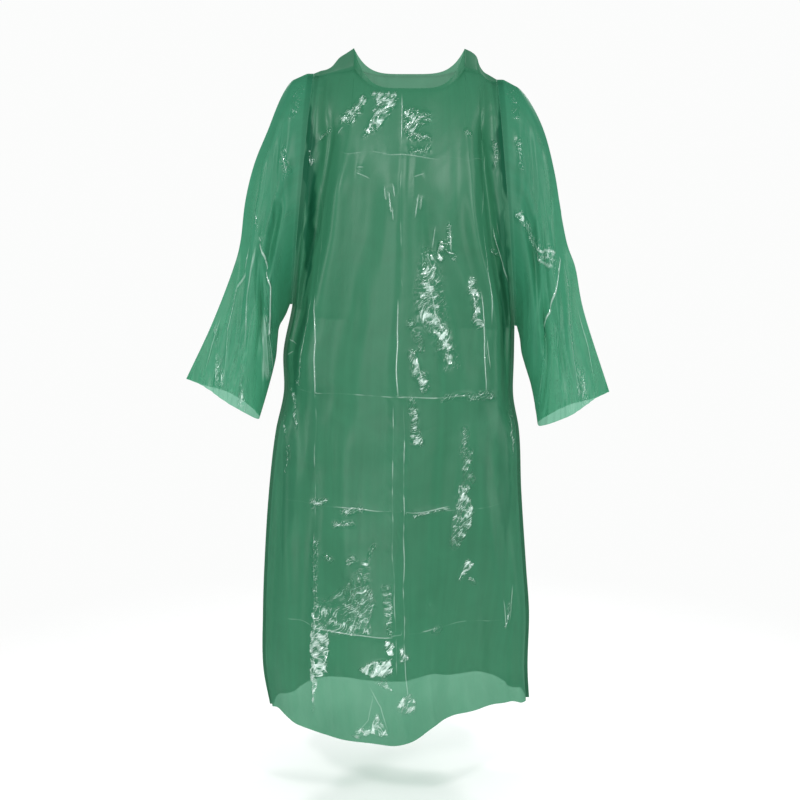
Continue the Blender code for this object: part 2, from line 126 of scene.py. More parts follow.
shoulders = {
    "left": (
        (0.00, -0.172, 0.012, 0.007), (0.17, -0.159, 0.017, 0.009), (0.34, -0.147, 0.020, 0.011),
        (0.50, -0.137, 0.026, 0.013), (0.67, -0.124, 0.041, 0.015), (0.84, -0.110, 0.050, 0.017),
        (1.00, -0.096, 0.059, 0.020),
    ),
    "right": (
        (0.00, 0.172, 0.001, -0.004), (0.17, 0.158, 0.009, 0.001), (0.34, 0.147, 0.016, 0.005),
        (0.50, 0.139, 0.028, 0.009), (0.67, 0.134, 0.043, 0.012), (0.84, 0.124, 0.052, 0.015),
        (1.00, 0.111, 0.058, 0.018),
    ),
}
bodyColumns = ("height", "leftX", "rightX", "frontDepth", "backDepth")
bodyRows = (
    (0.020, -0.172, 0.172, 0.088, 0.080), (-0.100, -0.185, 0.181, 0.114, 0.108),
    (-0.200, -0.194, 0.189, 0.127, 0.116), (-0.320, -0.207, 0.199, 0.133, 0.114),
    (-0.426, -0.218, 0.208, 0.136, 0.110), (-0.515, -0.236, 0.2105, 0.139, 0.107),
    (-0.596, -0.2365, 0.210, 0.141, 0.107), (-0.672, -0.253, 0.223, 0.144, 0.114),
    (-0.790, -0.268, 0.229, 0.148, 0.128), (-0.950, -0.280, 0.241, 0.153, 0.142),
    (-1.040, -0.284, 0.248, 0.157, 0.150), (-1.160, -0.285, 0.247, 0.162, 0.158),
    (-1.240, -0.272, 0.252, 0.165, 0.162),
)
hemColumns = ("across", "frontZ", "backZ")
hemRows = (
    (0.00, -1.236, -1.236), (0.10, -1.224, -1.232), (0.25, -1.232, -1.236), (0.42, -1.235, -1.240),
    (0.53, -1.241, -1.236), (0.60, -1.223, -1.232), (0.70, -1.219, -1.227), (0.79, -1.203, -1.222),
    (0.90, -1.207, -1.218), (1.00, -1.222, -1.222),
)
foldColumns = ("top", "bottom", "leftReach", "rightReach", "depth", "start", "full", "fade", "end")
panelFolds = {
    "front": (
        (0.44, 0.47, 0.36, 0.11, 0.044, -0.70, -1.18, -2.0, -2.1),
        (0.66, 0.67, 0.12, 0.26, -0.052, -0.78, -1.18, -2.0, -2.1),
        (0.09, 0.12, 0.08, 0.10, -0.026, -0.02, -0.12, -0.42, -0.66),
        (0.91, 0.88, 0.10, 0.08, -0.026, -0.02, -0.12, -0.44, -0.70),
        (0.21, 0.23, 0.07, 0.08, 0.012, -0.08, -0.22, -0.56, -0.66),
        (0.79, 0.86, 0.07, 0.07, 0.014, -0.16, -0.28, -0.54, -0.68),
        (0.60, 0.70, 0.08, 0.08, -0.011, -0.18, -0.30, -0.50, -0.64),
        (0.36, 0.31, 0.08, 0.08, -0.009, -0.10, -0.26, -0.56, -0.76),
        (0.50, 0.50, 0.036, 0.036, 0.004, -0.02, -0.08, -1.05, -1.25),
        (0.13, 0.10, 0.07, 0.08, -0.016, -0.66, -0.92, -1.15, -1.30),
        (0.26, 0.25, 0.06, 0.06, -0.012, -0.64, -0.86, -1.10, -1.28),
        (0.78, 0.80, 0.07, 0.06, 0.012, -0.70, -0.92, -1.14, -1.30),
        (0.88, 0.90, 0.06, 0.07, 0.012, -0.80, -1.10, -2.0, -2.1),
    ),
    "back": (
        (0.50, 0.50, 0.15, 0.15, -0.034, -0.12, -0.55, -2.0, -2.1),
        (0.32, 0.30, 0.13, 0.12, 0.026, -0.26, -0.95, -2.0, -2.1),
        (0.70, 0.73, 0.12, 0.13, 0.028, -0.30, -1.00, -2.0, -2.1),
        (0.09, 0.12, 0.08, 0.10, -0.024, -0.02, -0.12, -0.44, -0.80),
        (0.91, 0.87, 0.10, 0.08, -0.024, -0.02, -0.12, -0.48, -0.84),
        (0.42, 0.38, 0.07, 0.08, 0.014, -0.14, -0.30, -0.72, -0.98),
        (0.66, 0.62, 0.08, 0.07, -0.012, -0.18, -0.34, -0.66, -0.90),
        (0.15, 0.14, 0.08, 0.09, -0.026, -0.72, -1.12, -2.0, -2.1),
        (0.86, 0.87, 0.08, 0.07, -0.024, -0.70, -1.10, -2.0, -2.1),
        (0.60, 0.58, 0.07, 0.07, 0.020, -0.66, -1.08, -2.0, -2.1),
    ),
}
steps = {"shoulder": 6, "neck": 18, "panel": 30, "yoke": 12, "skirt": 18, "sleeve": 15}


def bodySize(name, height):
    return readTable(bodyColumns, bodyRows, "height", name, height)


def foldDepth(face, across, height):
    total = 0.0
    for row in panelFolds[face]:
        fold = dict(zip(foldColumns, row))
        run = smoothStep(fold["start"], max(fold["end"], bodyRows[-1][0]), height)
        crest = mix(fold["top"], fold["bottom"], run)
        reach = np.where(across < crest, fold["leftReach"], fold["rightReach"])
        away = np.minimum(np.abs(across - crest) / reach, 1.0)
        strength = smoothStep(fold["start"], fold["full"], height)
        strength = strength * (1.0 - smoothStep(fold["fade"], fold["end"], height))
        total = total + fold["depth"] * strength * np.cos(0.5 * math.pi * away) ** 2
    return total


def yokeTurn(row):  # half turn from the fold over the shoulder down to the armpit
    return math.pi * (np.clip(row, 1, steps["yoke"]) - 1) / (steps["yoke"] - 1)


def yokeDown(row):
    return (1.0 - np.cos(yokeTurn(row))) / 2.0


def armholePlace(side, face, row):
    sign = -1.0 if face == "front" else 1.0
    shoulderX, shoulderZ, armpitX, armpitZ = armholes[side]
    turn, down = yokeTurn(row), yokeDown(row)
    curve = np.maximum(np.sin(turn), 0.0)
    bulge = np.where(turn < math.pi / 2, curve, curve ** cut["armpitTaper"])
    lip = cut["seamGap"] / 2 + cut["sealSpread"] * (1.0 - smoothStep(steps["yoke"] - 1, steps["yoke"], row))
    margin = np.clip(1.0 - row, 0.0, 1.0)  # 1 at the cut edge, 0 at the fold under it
    y = mix(lip + cut[face + "Armhole"] * bulge, cut["seamGap"] / 2, margin)
    z = mix(shoulderZ - cut["sealMargin"], armpitZ, down) + cut["sealMargin"] * margin
    return np.stack(np.broadcast_arrays(mix(shoulderX, armpitX, down), sign * y, z), -1)


def topEdge(face, step):  # cut edge of the shoulder or the neck, and the place where the film folds under it
    sign = -1.0 if face == "front" else 1.0
    onLeft = step < steps["panel"] / 2
    along = np.clip(np.minimum(step, steps["panel"] - step) / steps["shoulder"], 0.0, 1.0)
    seam = {}
    for name in shoulderColumns[1:]:
        sides = (readTable(shoulderColumns, shoulders[s], "along", name, along) for s in ("left", "right"))
        seam[name] = np.where(onLeft, *sides)
    gap = cut["seamGap"] / 2
    ear = np.maximum(0.0, seam["edgeZ"] - seam["foldZ"] - cut["sealMargin"])
    spread = cut["sealSpread"] + cut["earSpread"] * ear
    edge = np.stack(np.broadcast_arrays(seam["x"], sign * gap, seam["edgeZ"]), -1)
    fold = np.stack(np.broadcast_arrays(seam["x"], sign * (gap + spread), seam["foldZ"]), -1)
    away = -np.cos(math.pi * np.clip((step - steps["shoulder"]) / steps["neck"], 0.0, 1.0))
    tipZ = np.where(away < 0, shoulders["left"][-1][2], shoulders["right"][-1][2])
    tipFold = np.where(away < 0, shoulders["left"][-1][3], shoulders["right"][-1][3])
    scoopY, scoopZ = cut[face + "Neck"]
    leftX, rightX = cut["neckX"]
    x = (leftX + rightX) / 2 + away * (rightX - leftX) / 2
    edgeY = mix(scoopY, sign * gap, np.abs(away) ** cut["neckClose"])
    edgeZ = mix(scoopZ, tipZ, np.abs(away) ** cut["neckRise"])
    drop = mix(cut["sealMargin"], tipZ - tipFold, np.abs(away) ** cut["neckTip"])
    onNeck = ((step > steps["shoulder"]) & (step < steps["panel"] - steps["shoulder"]))[..., None]
    edge = np.where(onNeck, np.stack((x, edgeY, edgeZ), -1), edge)
    fold = np.where(onNeck, np.stack((x, edgeY + sign * cut["neckLip"], edgeZ - drop), -1), fold)
    return edge, fold


def sectionPlace(face, across, height, softness, leftX, rightX, edgeY):
    sign = -1.0 if face == "front" else 1.0
    half = (rightX - leftX) / 2
    spread = mix(-np.cos(math.pi * across), 2.0 * across - 1.0, softness)
    depth = bodySize(face + "Depth", height)
    swell = np.maximum(np.sin(math.pi * across), 0.0) ** mix(cut["skirtFullness"], 1.0, softness)
    outward = foldDepth(face, across, height)
    centred = 1.0 - np.abs(2.0 * across - 1.0)
    x = (leftX + rightX) / 2 + half * spread + outward * spread * centred * cut["foldSpread"]
    return x, sign * (edgeY + (depth - edgeY) * swell + outward)


def yokePlace(face, step, row):
    edge, fold = topEdge(face, step)
    across = (step - 1) / (steps["panel"] - 2)
    down = yokeDown(row)
    left, right = (armholePlace(side, face, np.maximum(row, 1)) for side in ("left", "right"))
    height = mix(fold[..., 2], mix(armholes["left"][3], armholes["right"][3], across), down)
    edgeY = mix(np.abs(left[..., 1]), np.abs(right[..., 1]), across)
    band = mix(cut["armholeBand"], cut["sideFin"], down)
    softness = cut["shoulderSoftness"] * (1.0 - smoothStep(cut["softnessEnd"], 1.0, down))
    x, y = sectionPlace(face, across, height, softness, left[..., 0] + band, right[..., 0] - band, edgeY)
    neckShare = 1.0
    if face == "front":
        neckShare = 1.0 - np.minimum(1.0, np.abs(edge[..., 1]) / abs(cut["frontNeck"][0]))
    swell = np.sin(np.minimum(yokeTurn(row), math.pi / 2)) ** mix(cut["neckRoundness"], 1.0, neckShare)
    slide = smoothStep(0.0, cut["shoulderSlide"], down)
    under = np.stack((mix(fold[..., 0], x, slide), mix(fold[..., 1], y, swell), height), -1)
    return np.where((row < 1)[..., None], mix(edge, fold, np.clip(row, 0, 1)[..., None]), under)


def skirtPlace(face, step, share):
    sign = -1.0 if face == "front" else 1.0
    across = np.clip((step - 1) / (steps["panel"] - 2), 0.0, 1.0)
    armpitZ = mix(armholes["left"][3], armholes["right"][3], across)
    height = mix(armpitZ, readTable(hemColumns, hemRows, "across", face + "Z", across), share)
    leftX = bodySize("leftX", height)
    settling = 1.0 - smoothStep(0.0, cut["armpitSettle"], share)
    rightX = mix(bodySize("rightX", height), armholes["right"][2], settling)
    edgeY = cut["seamGap"] / 2 + cut["sideSpread"]
    x, y = sectionPlace(face, across, height, 0.0, leftX + cut["sideFin"], rightX - cut["sideFin"], edgeY)
    inside = np.stack((x, y, height), -1)
    seamX = np.where(step < steps["panel"] / 2, leftX, rightX)
    seam = np.stack(np.broadcast_arrays(seamX, sign * cut["seamGap"] / 2, height), -1)
    edgeShare = np.clip(1.0 - np.minimum(step, steps["panel"] - step), 0.0, 1.0)[..., None]
    return mix(inside, seam, edgeShare)


def panelPlace(face, step, row):  # step 0 to 30 across, row 0 to 12 at the armpits and 30 at the hem
    inner = np.clip(step, 1, steps["panel"] - 1)
    yoke = yokePlace(face, inner, row)
    inset = 1.0 - np.clip(np.minimum(step, steps["panel"] - step), 0.0, 1.0)  # 1 on the seam, 0 past its band
    for side, first in (("left", True), ("right", False)):
        here = (step < steps["panel"] / 2) == first
        seam = armholePlace(side, face, row)
        band = seam.copy()
        wide = mix(cut["armholeBand"], cut["sideFin"], yokeDown(row))
        band[..., 0] += wide if first else -wide
        rim = yokePlace(face, np.full_like(step, 1.0 if first else steps["panel"] - 1.0), row)
        band = np.where((row < 1)[..., None], mix(rim, band, np.clip(row, 0, 1)[..., None]), band)
        near = 1.0 - smoothStep(1.0, cut["bandFade"], np.minimum(step, steps["panel"] - step))
        shifted = mix(yoke + (band - rim) * near[..., None], seam, inset[..., None])
        yoke = np.where(here[..., None], shifted, yoke)
    last = np.full_like(row, float(steps["yoke"]))
    joined = skirtPlace(face, step, np.zeros_like(row))
    if np.any(row < steps["yoke"]) and not np.all(row == steps["yoke"]):
        run = smoothStep(cut["skirtBlend"], float(steps["yoke"]), row)
        yoke = yoke + (joined - panelPlace(face, step, last)) * run[..., None]
    elif np.all(row == steps["yoke"]):
        return yoke
    share = np.clip((row - steps["yoke"]) / steps["skirt"], 0.0, 1.0)
    return np.where((row < steps["yoke"])[..., None], yoke, skirtPlace(face, step, share))


# the sleeves' form

sleeveColumns = ("along", "outerX", "outerZ", "innerX", "innerZ", "front", "back", "middleY", "fin", "bow")
sleeves = {
    "left": (
        (0.00, -0.190, 0.007, -0.224, -0.430, 0.076, 0.074, 0.000, 0.012, 0.000),
        (0.08, -0.215, -0.003, -0.230, -0.443, 0.080, 0.078, 0.000, 0.014, 0.000),
        (0.14, -0.234, -0.032, -0.236, -0.454, 0.080, 0.078, 0.000, 0.016, 0.000),
        (0.22, -0.258, -0.089, -0.241, -0.462, 0.078, 0.076, -0.001, 0.02, 0.000),
        (0.34, -0.285, -0.153, -0.246, -0.478, 0.073, 0.071, -0.003, 0.04, 0.000),
        (0.46, -0.303, -0.221, -0.248, -0.500, 0.067, 0.066, -0.006, 0.07, 0.000),
        (0.58, -0.314, -0.300, -0.250, -0.525, 0.061, 0.060, -0.010, 0.12, 0.000),
        (0.68, -0.327, -0.348, -0.255, -0.548, 0.056, 0.056, -0.014, 0.22, 0.000),
        (0.84, -0.371, -0.459, -0.268, -0.596, 0.050, 0.050, -0.022, 0.32, -0.001),
        (1.00, -0.422, -0.565, -0.282, -0.642, 0.049, 0.047, -0.030, 0.34, -0.006),
    ),
    "right": (
        (0.00, 0.190, -0.005, 0.216, -0.472, 0.076, 0.074, 0.000, 0.012, 0.000),
        (0.08, 0.214, -0.015, 0.219, -0.478, 0.080, 0.078, 0.000, 0.014, 0.000),
        (0.14, 0.235, -0.040, 0.221, -0.486, 0.080, 0.078, 0.000, 0.016, 0.000),
        (0.22, 0.260, -0.089, 0.223, -0.497, 0.078, 0.076, -0.001, 0.02, 0.000),
        (0.34, 0.282, -0.168, 0.226, -0.519, 0.073, 0.071, -0.003, 0.04, 0.000),
        (0.46, 0.296, -0.247, 0.232, -0.541, 0.067, 0.066, -0.006, 0.07, 0.000),
        (0.58, 0.310, -0.309, 0.239, -0.563, 0.061, 0.060, -0.010, 0.14, 0.000),
        (0.68, 0.325, -0.350, 0.244, -0.580, 0.056, 0.056, -0.014, 0.22, 0.000),
        (0.84, 0.343, -0.437, 0.251, -0.615, 0.050, 0.050, -0.022, 0.30, 0.000),
        (1.00, 0.394, -0.590, 0.257, -0.655, 0.049, 0.047, -0.030, 0.34, 0.000),
    ),
}
sleeveStand = {
    "spread": 0.0016,
    "fullnessTop": 0.5,
    "fullnessCuff": 0.42,
    "settle": 0.30,
    "finRoot": 0.4,
    "finOpening": 0.25,
    "finStart": 0.35,
    "finFull": 0.75,
    "underShare": (0.45, 0.55),
    "foldEdge": 0.0203,
}
sleeveFoldColumns = ("along", "across", "alongReach", "acrossReach", "lean", "depth")
sleeveFolds = {
    "front": (
        (0.24, 0.55, 0.22, 0.13, 0.45, -0.018), (0.46, 0.36, 0.26, 0.11, 0.30, 0.009),
        (0.56, 0.62, 0.22, 0.12, 0.40, -0.016), (0.84, 0.50, 0.26, 0.11, 0.10, -0.010),
    ),
    "back": (
        (0.26, 0.60, 0.24, 0.13, 0.40, -0.017), (0.52, 0.70, 0.22, 0.12, 0.35, -0.014),
        (0.60, 0.42, 0.24, 0.11, 0.25, 0.009), (0.86, 0.60, 0.24, 0.12, -0.10, -0.009),
    ),
}


def sleeveHalf(side, face, row, ring):  # row 0 outer fold, 12 under the arm, ring -1 seam, 15 cuff
    stand = sleeveStand
    sign = -1.0 if face == "front" else 1.0
    along = np.clip(ring, 1, steps["sleeve"]) / steps["sleeve"]
    size = {n: readTable(sleeveColumns, sleeves[side], "along", n, along) for n in sleeveColumns[1:]}
    down = np.where(row < 2, stand["foldEdge"] * row / 2, yokeDown(row))
    flat = smoothStep(stand["finRoot"] * size["fin"], size["fin"] + stand["finOpening"], down)
    flat = mix(1.0, flat, smoothStep(stand["finStart"], stand["finFull"], along))
    fullness = mix(stand["fullnessTop"], stand["fullnessCuff"], along)
    under = mix(cut["armpitTaper"] / 2, fullness, smoothStep(0.0, stand["settle"], along))
    fullness = mix(fullness, under, smoothStep(*stand["underShare"], down))
    swell = np.maximum(4.0 * down * (1.0 - down), 0.0) ** fullness
    folds = 0.0
    for values in sleeveFolds[face]:
        fold = dict(zip(sleeveFoldColumns, values))
        offAlong = (along - fold["along"]) / fold["alongReach"]
        offAcross = (down - fold["across"] - fold["lean"] * (along - fold["along"])) / fold["acrossReach"]
        away = np.minimum(np.hypot(offAlong, offAcross), 1.0)
        folds = folds + fold["depth"] * np.cos(0.5 * math.pi * away) ** 2
    closing = np.clip(np.minimum(row, steps["yoke"] - row), 0.0, 1.0)  # 0 where the two halves meet
    outward = stand["spread"] * closing + np.maximum(size[face] * swell * flat + folds, 0.0)
    bow = size["bow"] * 4.0 * down * (1.0 - down)
    outerSign = -1.0 if side == "left" else 1.0
    tube = np.stack((
        mix(size["outerX"], size["innerX"], down) + outerSign * bow / 2,
        size["middleY"] + sign * outward,
        mix(size["outerZ"], size["innerZ"], down) - bow,
    ), -1)
    seam = armholePlace(side, face, row)
    band = np.clip(ring + 1, 0, 1) * mix(cut["armholeBand"], cut["armpitBand"], yokeDown(row))
    seam[..., 0] += outerSign * (cut["seamGap"] + band)
    seam[..., 1] *= closing
    seam[..., 2] += cut["armpitLift"] * smoothStep(steps["yoke"] - 1, steps["yoke"], row)
    return mix(seam, tube, np.clip(ring, 0, 1)[..., None])


# cloth: an even grid on a form, with lengths along the film

def evenly(form, places, count):  # places in a form at even lengths of film along one line
    line = form(places)
    length = np.concatenate(((0.0,), np.cumsum(np.linalg.norm(np.diff(line, axis=0), axis=1))))
    return np.interp(np.linspace(0.0, length[-1], count), length, places)


def gridNormals(points, closed):
    if closed:
        wide = np.concatenate((points[:, -1:], points, points[:, :1]), 1)
        across = wide[:, 2:] - wide[:, :-2]
    else:
        across = np.gradient(points, axis=1)
    normal = np.cross(across, np.gradient(points, axis=0))
    return normal / np.maximum(np.linalg.norm(normal, axis=-1, keepdims=True), tiny)


def runLength(points, axis):  # length along the film from its first row or column
    length = np.cumsum(np.linalg.norm(np.diff(points, axis=axis), axis=-1), axis)
    return np.concatenate((np.zeros_like(length.take([0], axis)), length), axis)


def filmLengths(points, middle, level):  # lengths along the film, across from a column and down from a row
    across, down = runLength(points, 1), runLength(points, 0)
    return np.stack((across - across[:, middle:middle + 1], down - down[level:level + 1]), -1)


def onCloth(cloth, spots, half=None):  # places on the film seen at these x and z, from the front or the back
    found = []
    for x, z in spots:
        away = (cloth["points"][..., 0] - x) ** 2 + (cloth["points"][..., 2] - z) ** 2
        if half is not None:
            away = np.where(cloth["half"] == half, away, farAway)
        found.append(cloth["place"][np.unravel_index(np.argmin(away), away.shape)])
    return np.array(found)


def drift(place, sizes, seed, reach):  # how far points stray, so that lines and outlines aren't quite regular
    return np.stack((wander(place, sizes[0], seed), wander(place, sizes[1], seed + 1)), -1) * reach


def lineAway(place, line):  # each point's distance from a line, its share along the line and its side of it
    runs = np.diff(line, axis=0)
    lengths = np.linalg.norm(runs, axis=1)
    total, before = max(lengths.sum(), tiny), 0.0
    away, share, side = (np.full(place.shape[:-1], value) for value in (farAway, 0.0, 1.0))
    for first, run, length in zip(line[:-1], runs, lengths):
        t = np.clip(((place - first) @ run) / max(length * length, tiny), 0.0, 1.0)
        offset = place - first - t[..., None] * run
        gap = np.linalg.norm(offset, axis=-1)
        nearer = gap < away
        share = np.where(nearer, (before + t * length) / total, share)
        side = np.where(nearer, np.where(run[0] * offset[..., 1] < run[1] * offset[..., 0], -1.0, 1.0), side)
        away = np.minimum(away, gap)
        before += length
    return away, share, side


pressed = {
    "straySizes": (0.05, 0.06),
    "straightStray": 0.5,
    "dashShifts": (0.31, 0.17),
    "dashSizes": (0.080, 0.027),
    "dashShare": 0.6,
    "dashShown": (-0.30, 0.85),
    "dashFaint": 0.12,
    # the hairline along a crease, its width and strength; the film paints it pale, as a highlight
    "glowReach": 0.0050,
    "glowHeight": 0.0020,
    "glowMost": 1.6,
    "besideMost": 0.02,
}


def pressFolds(cloth, folds, wobble, half=None):  # height of the folds, and how creased film is and where
    place = cloth["place"]
    stray = drift(place, pressed["straySizes"], 3, wobble)
    height, creased = np.zeros(place.shape[:-1]), np.zeros(place.shape[:-1])
    beside = np.full(place.shape[:-1], pressed["besideMost"])
    for number, (kind, depth, reach, taper, *spots) in enumerate(folds):
        depth, reach, spots = depth / 1000, reach / 1000, np.array(spots) / 1000
        if kind == "straight":  # a crease that is straight as seen from in front
            seen = cloth["points"][..., (0, 2)] + pressed["straightStray"] * stray
            away, share, side = lineAway(seen, spots)
        else:
            away, share, side = lineAway(place + stray, onCloth(cloth, spots, half))
        strength = smoothStep(0.0, taper, share) * (1.0 - smoothStep(1.0 - taper, 1.0, share))
        if kind == "soft":
            height += depth * strength * np.cos(0.5 * math.pi * np.minimum(away / reach, 1.0)) ** 2
            continue
        if kind == "dash":  # a faint packing crease, seen only here and there
            first, second = (number * shift for shift in pressed["dashShifts"])
            shown = wander(place + first, pressed["dashSizes"][0], 8)
            shown = shown + pressed["dashShare"] * wander(place - second, pressed["dashSizes"][1], 9)
            strength = strength * mix(pressed["dashFaint"], 1.0, smoothStep(*pressed["dashShown"], shown))
        height += depth * strength * np.exp(-away / reach)  # sharp, with the film bent towards it
        glow = min(pressed["glowMost"], abs(depth) / pressed["glowHeight"])
        glow = glow * strength * np.exp(-((away / pressed["glowReach"]) ** 2))
        beside = np.where(glow > creased, side * np.minimum(away, pressed["besideMost"]), beside)
        creased = np.maximum(creased, glow)
    if half is not None:
        height, creased = height * (cloth["half"] == half), creased * (cloth["half"] == half)
    return height, creased, beside


ragged = {"crumpleSizes": (0.035, 0.04), "patchSizes": (0.020, 0.024), "patchStray": 0.0022, "least": 1e-4}


def crumpled(cloth, patches, half=None, edges=(0.35, 1.5), stray=0.004, fade=0.0):  # how crumpled, 0 to 1
    place = cloth["place"] + drift(cloth["place"], ragged["crumpleSizes"], 11, stray)
    total = np.zeros(place.shape[:-1])
    for strength, reach, *spots in patches:
        reach, line = reach / 1000, onCloth(cloth, np.array(spots) / 1000, half)
        if len(line) == 1:
            line = np.concatenate((line, line + ragged["least"]))
        away, share, _ = lineAway(place, line)
        if fade > 0.0:  # narrower towards both ends
            away = away + reach * (1.0 - smoothStep(0.0, fade, np.minimum(share, 1.0 - share)))
        total = np.maximum(total, strength * (1.0 - smoothStep(edges[0] * reach, edges[1] * reach, away)))
    if half is not None:
        total = total * (cloth["half"] == half)
    return total


def patched(cloth, patches):  # crumpled film with a clear outline, its corners given as seen from in front
    spot = cloth["points"][..., (0, 2)]
    spot = spot + drift(spot, ragged["patchSizes"], 15, ragged["patchStray"])
    x, z = np.moveaxis(spot, -1, 0)
    total = np.zeros(x.shape)
    for strength, soft, *corners in patches:
        soft, ring = soft / 1000, np.array(corners + corners[:1]) / 1000
        inside = np.zeros(x.shape, bool)
        for (x0, z0), (x1, z1) in zip(ring[:-1], ring[1:]):
            if z0 != z1:
                inside ^= ((z0 > z) != (z1 > z)) & (x < x0 + (z - z0) * (x1 - x0) / (z1 - z0))
        away = lineAway(spot, ring)[0]
        total = np.maximum(total, strength * smoothStep(-soft, soft, np.where(inside, away, -away)))
    return total


grainLook = {"turn": -0.85, "stretch": 0.42, "bend": 0.012, "bendSizes": (0.08, 0.09)}


def grainPlace(place):  # places bent a little and turned, so that the relief runs in long leaning lines
    bent = place + drift(place, grainLook["bendSizes"], 31, grainLook["bend"])
    lean = math.cos(grainLook["turn"]), math.sin(grainLook["turn"])
    along = grainLook["stretch"] * (bent[..., 0] * lean[0] + bent[..., 1] * lean[1])
    return np.stack((along, bent[..., 1] * lean[0] - bent[..., 0] * lean[1], 0.0 * along), -1)


def cornerPlaces(points, place, faces, closed, flip):  # where each corner of each face lies on the cut
    corner = place.reshape(-1, 2)[faces.reshape(-1)].reshape(-1, 4, 2)
    if closed:  # the last strip of a tube runs on past the seam of its map
        rows, columns = points.shape[:2]
        girth = np.linalg.norm(points[:, 0] - points[:, -1], axis=-1)
        past = np.stack((place[:, -1, 0] + girth, place[:, -1, 1]), -1)
        strips = corner.reshape(rows - 1, columns, 4, 2)
        below, above = (1, 0) if flip else (2, 3)
        strips[:, -1, below], strips[:, -1, above] = past[1:], past[:-1]
        corner = strips.reshape(-1, 4, 2)
    return corner


def makeMesh(name, points, closed, flip, values, place):
    rows, columns = points.shape[:2]
    index = np.arange(rows * columns).reshape(rows, columns)
    right = np.roll(index, -1, 1) if closed else index[:, 1:]
    left = index if closed else index[:, :-1]
    faces = np.stack((left[:-1], left[1:], right[1:], right[:-1]), -1).reshape(-1, 4)
    if flip:
        faces = faces[:, ::-1]
    mesh = bpy.data.meshes.new(name)
    mesh.vertices.add(rows * columns)
    mesh.vertices.foreach_set("co", points.reshape(-1).astype(np.float32))
    mesh.loops.add(faces.size)
    mesh.loops.foreach_set("vertex_index", faces.reshape(-1).astype(np.int32))
    mesh.polygons.add(len(faces))
    mesh.polygons.foreach_set("loop_start", np.arange(0, faces.size, 4, dtype=np.int32))
    mesh.update(calc_edges=True)
    mesh.validate()
    for label, value in values.items():
        layer = mesh.attributes.new(label, "FLOAT", "POINT")
        layer.data.foreach_set("value", value.reshape(-1).astype(np.float32))
    layer = mesh.attributes.new("filmPlace", "FLOAT_VECTOR", "POINT")
    layer.data.foreach_set("vector", grainPlace(place).reshape(-1).astype(np.float32))
    corners = cornerPlaces(points, place, faces, closed, flip)
    mesh.uv_layers.new(name="cut").data.foreach_set("uv", corners.reshape(-1).astype(np.float32))
    mesh.shade_smooth()
    piece = bpy.data.objects.new(name, mesh)
    bpy.context.scene.collection.objects.link(piece)
    return piece


class Wire:  # a socket of a node tree, with the arithmetic that the trees here use
    def __init__(self, tree, socket=None):
        self.tree, self.socket = tree, socket

    def make(self, kind, settings=None, inputs=None, output=0):
        node = self.tree.nodes.new(kind)
        for name, value in (settings or {}).items():
            setattr(node, name, value)
        for name, value in (inputs or {}).items():
            if isinstance(value, Wire):
                self.tree.links.new(value.socket, node.inputs[name])
            else:
                node.inputs[name].default_value = value
        return Wire(self.tree, node.outputs[output] if len(node.outputs) else None)

    def maths(self, operation, first, second):
        return self.make("ShaderNodeMath", {"operation": operation}, {0: first, 1: second})

    def __add__(self, other):
        return self.maths("ADD", self, other)

    def __radd__(self, other):
        return self.maths("ADD", other, self)

    def __sub__(self, other):
        return self.maths("SUBTRACT", self, other)

    def __rsub__(self, other):
        return self.maths("SUBTRACT", other, self)

    def __mul__(self, other):
        return self.maths("MULTIPLY", self, other)

    def __pow__(self, other):
        return self.maths("POWER", self, other)

    def __abs__(self):
        return self.maths("ABSOLUTE", self, 0.0)


def emptyTree(owner):  # the node tree of a material or the world, with nothing in it yet
    owner.use_nodes = True
    owner.node_tree.nodes.clear()
    return Wire(owner.node_tree)


def mixShader(wire, share, first, second):
    return wire.make("ShaderNodeMixShader", {}, {0: share, 1: first, 2: second})


# film material

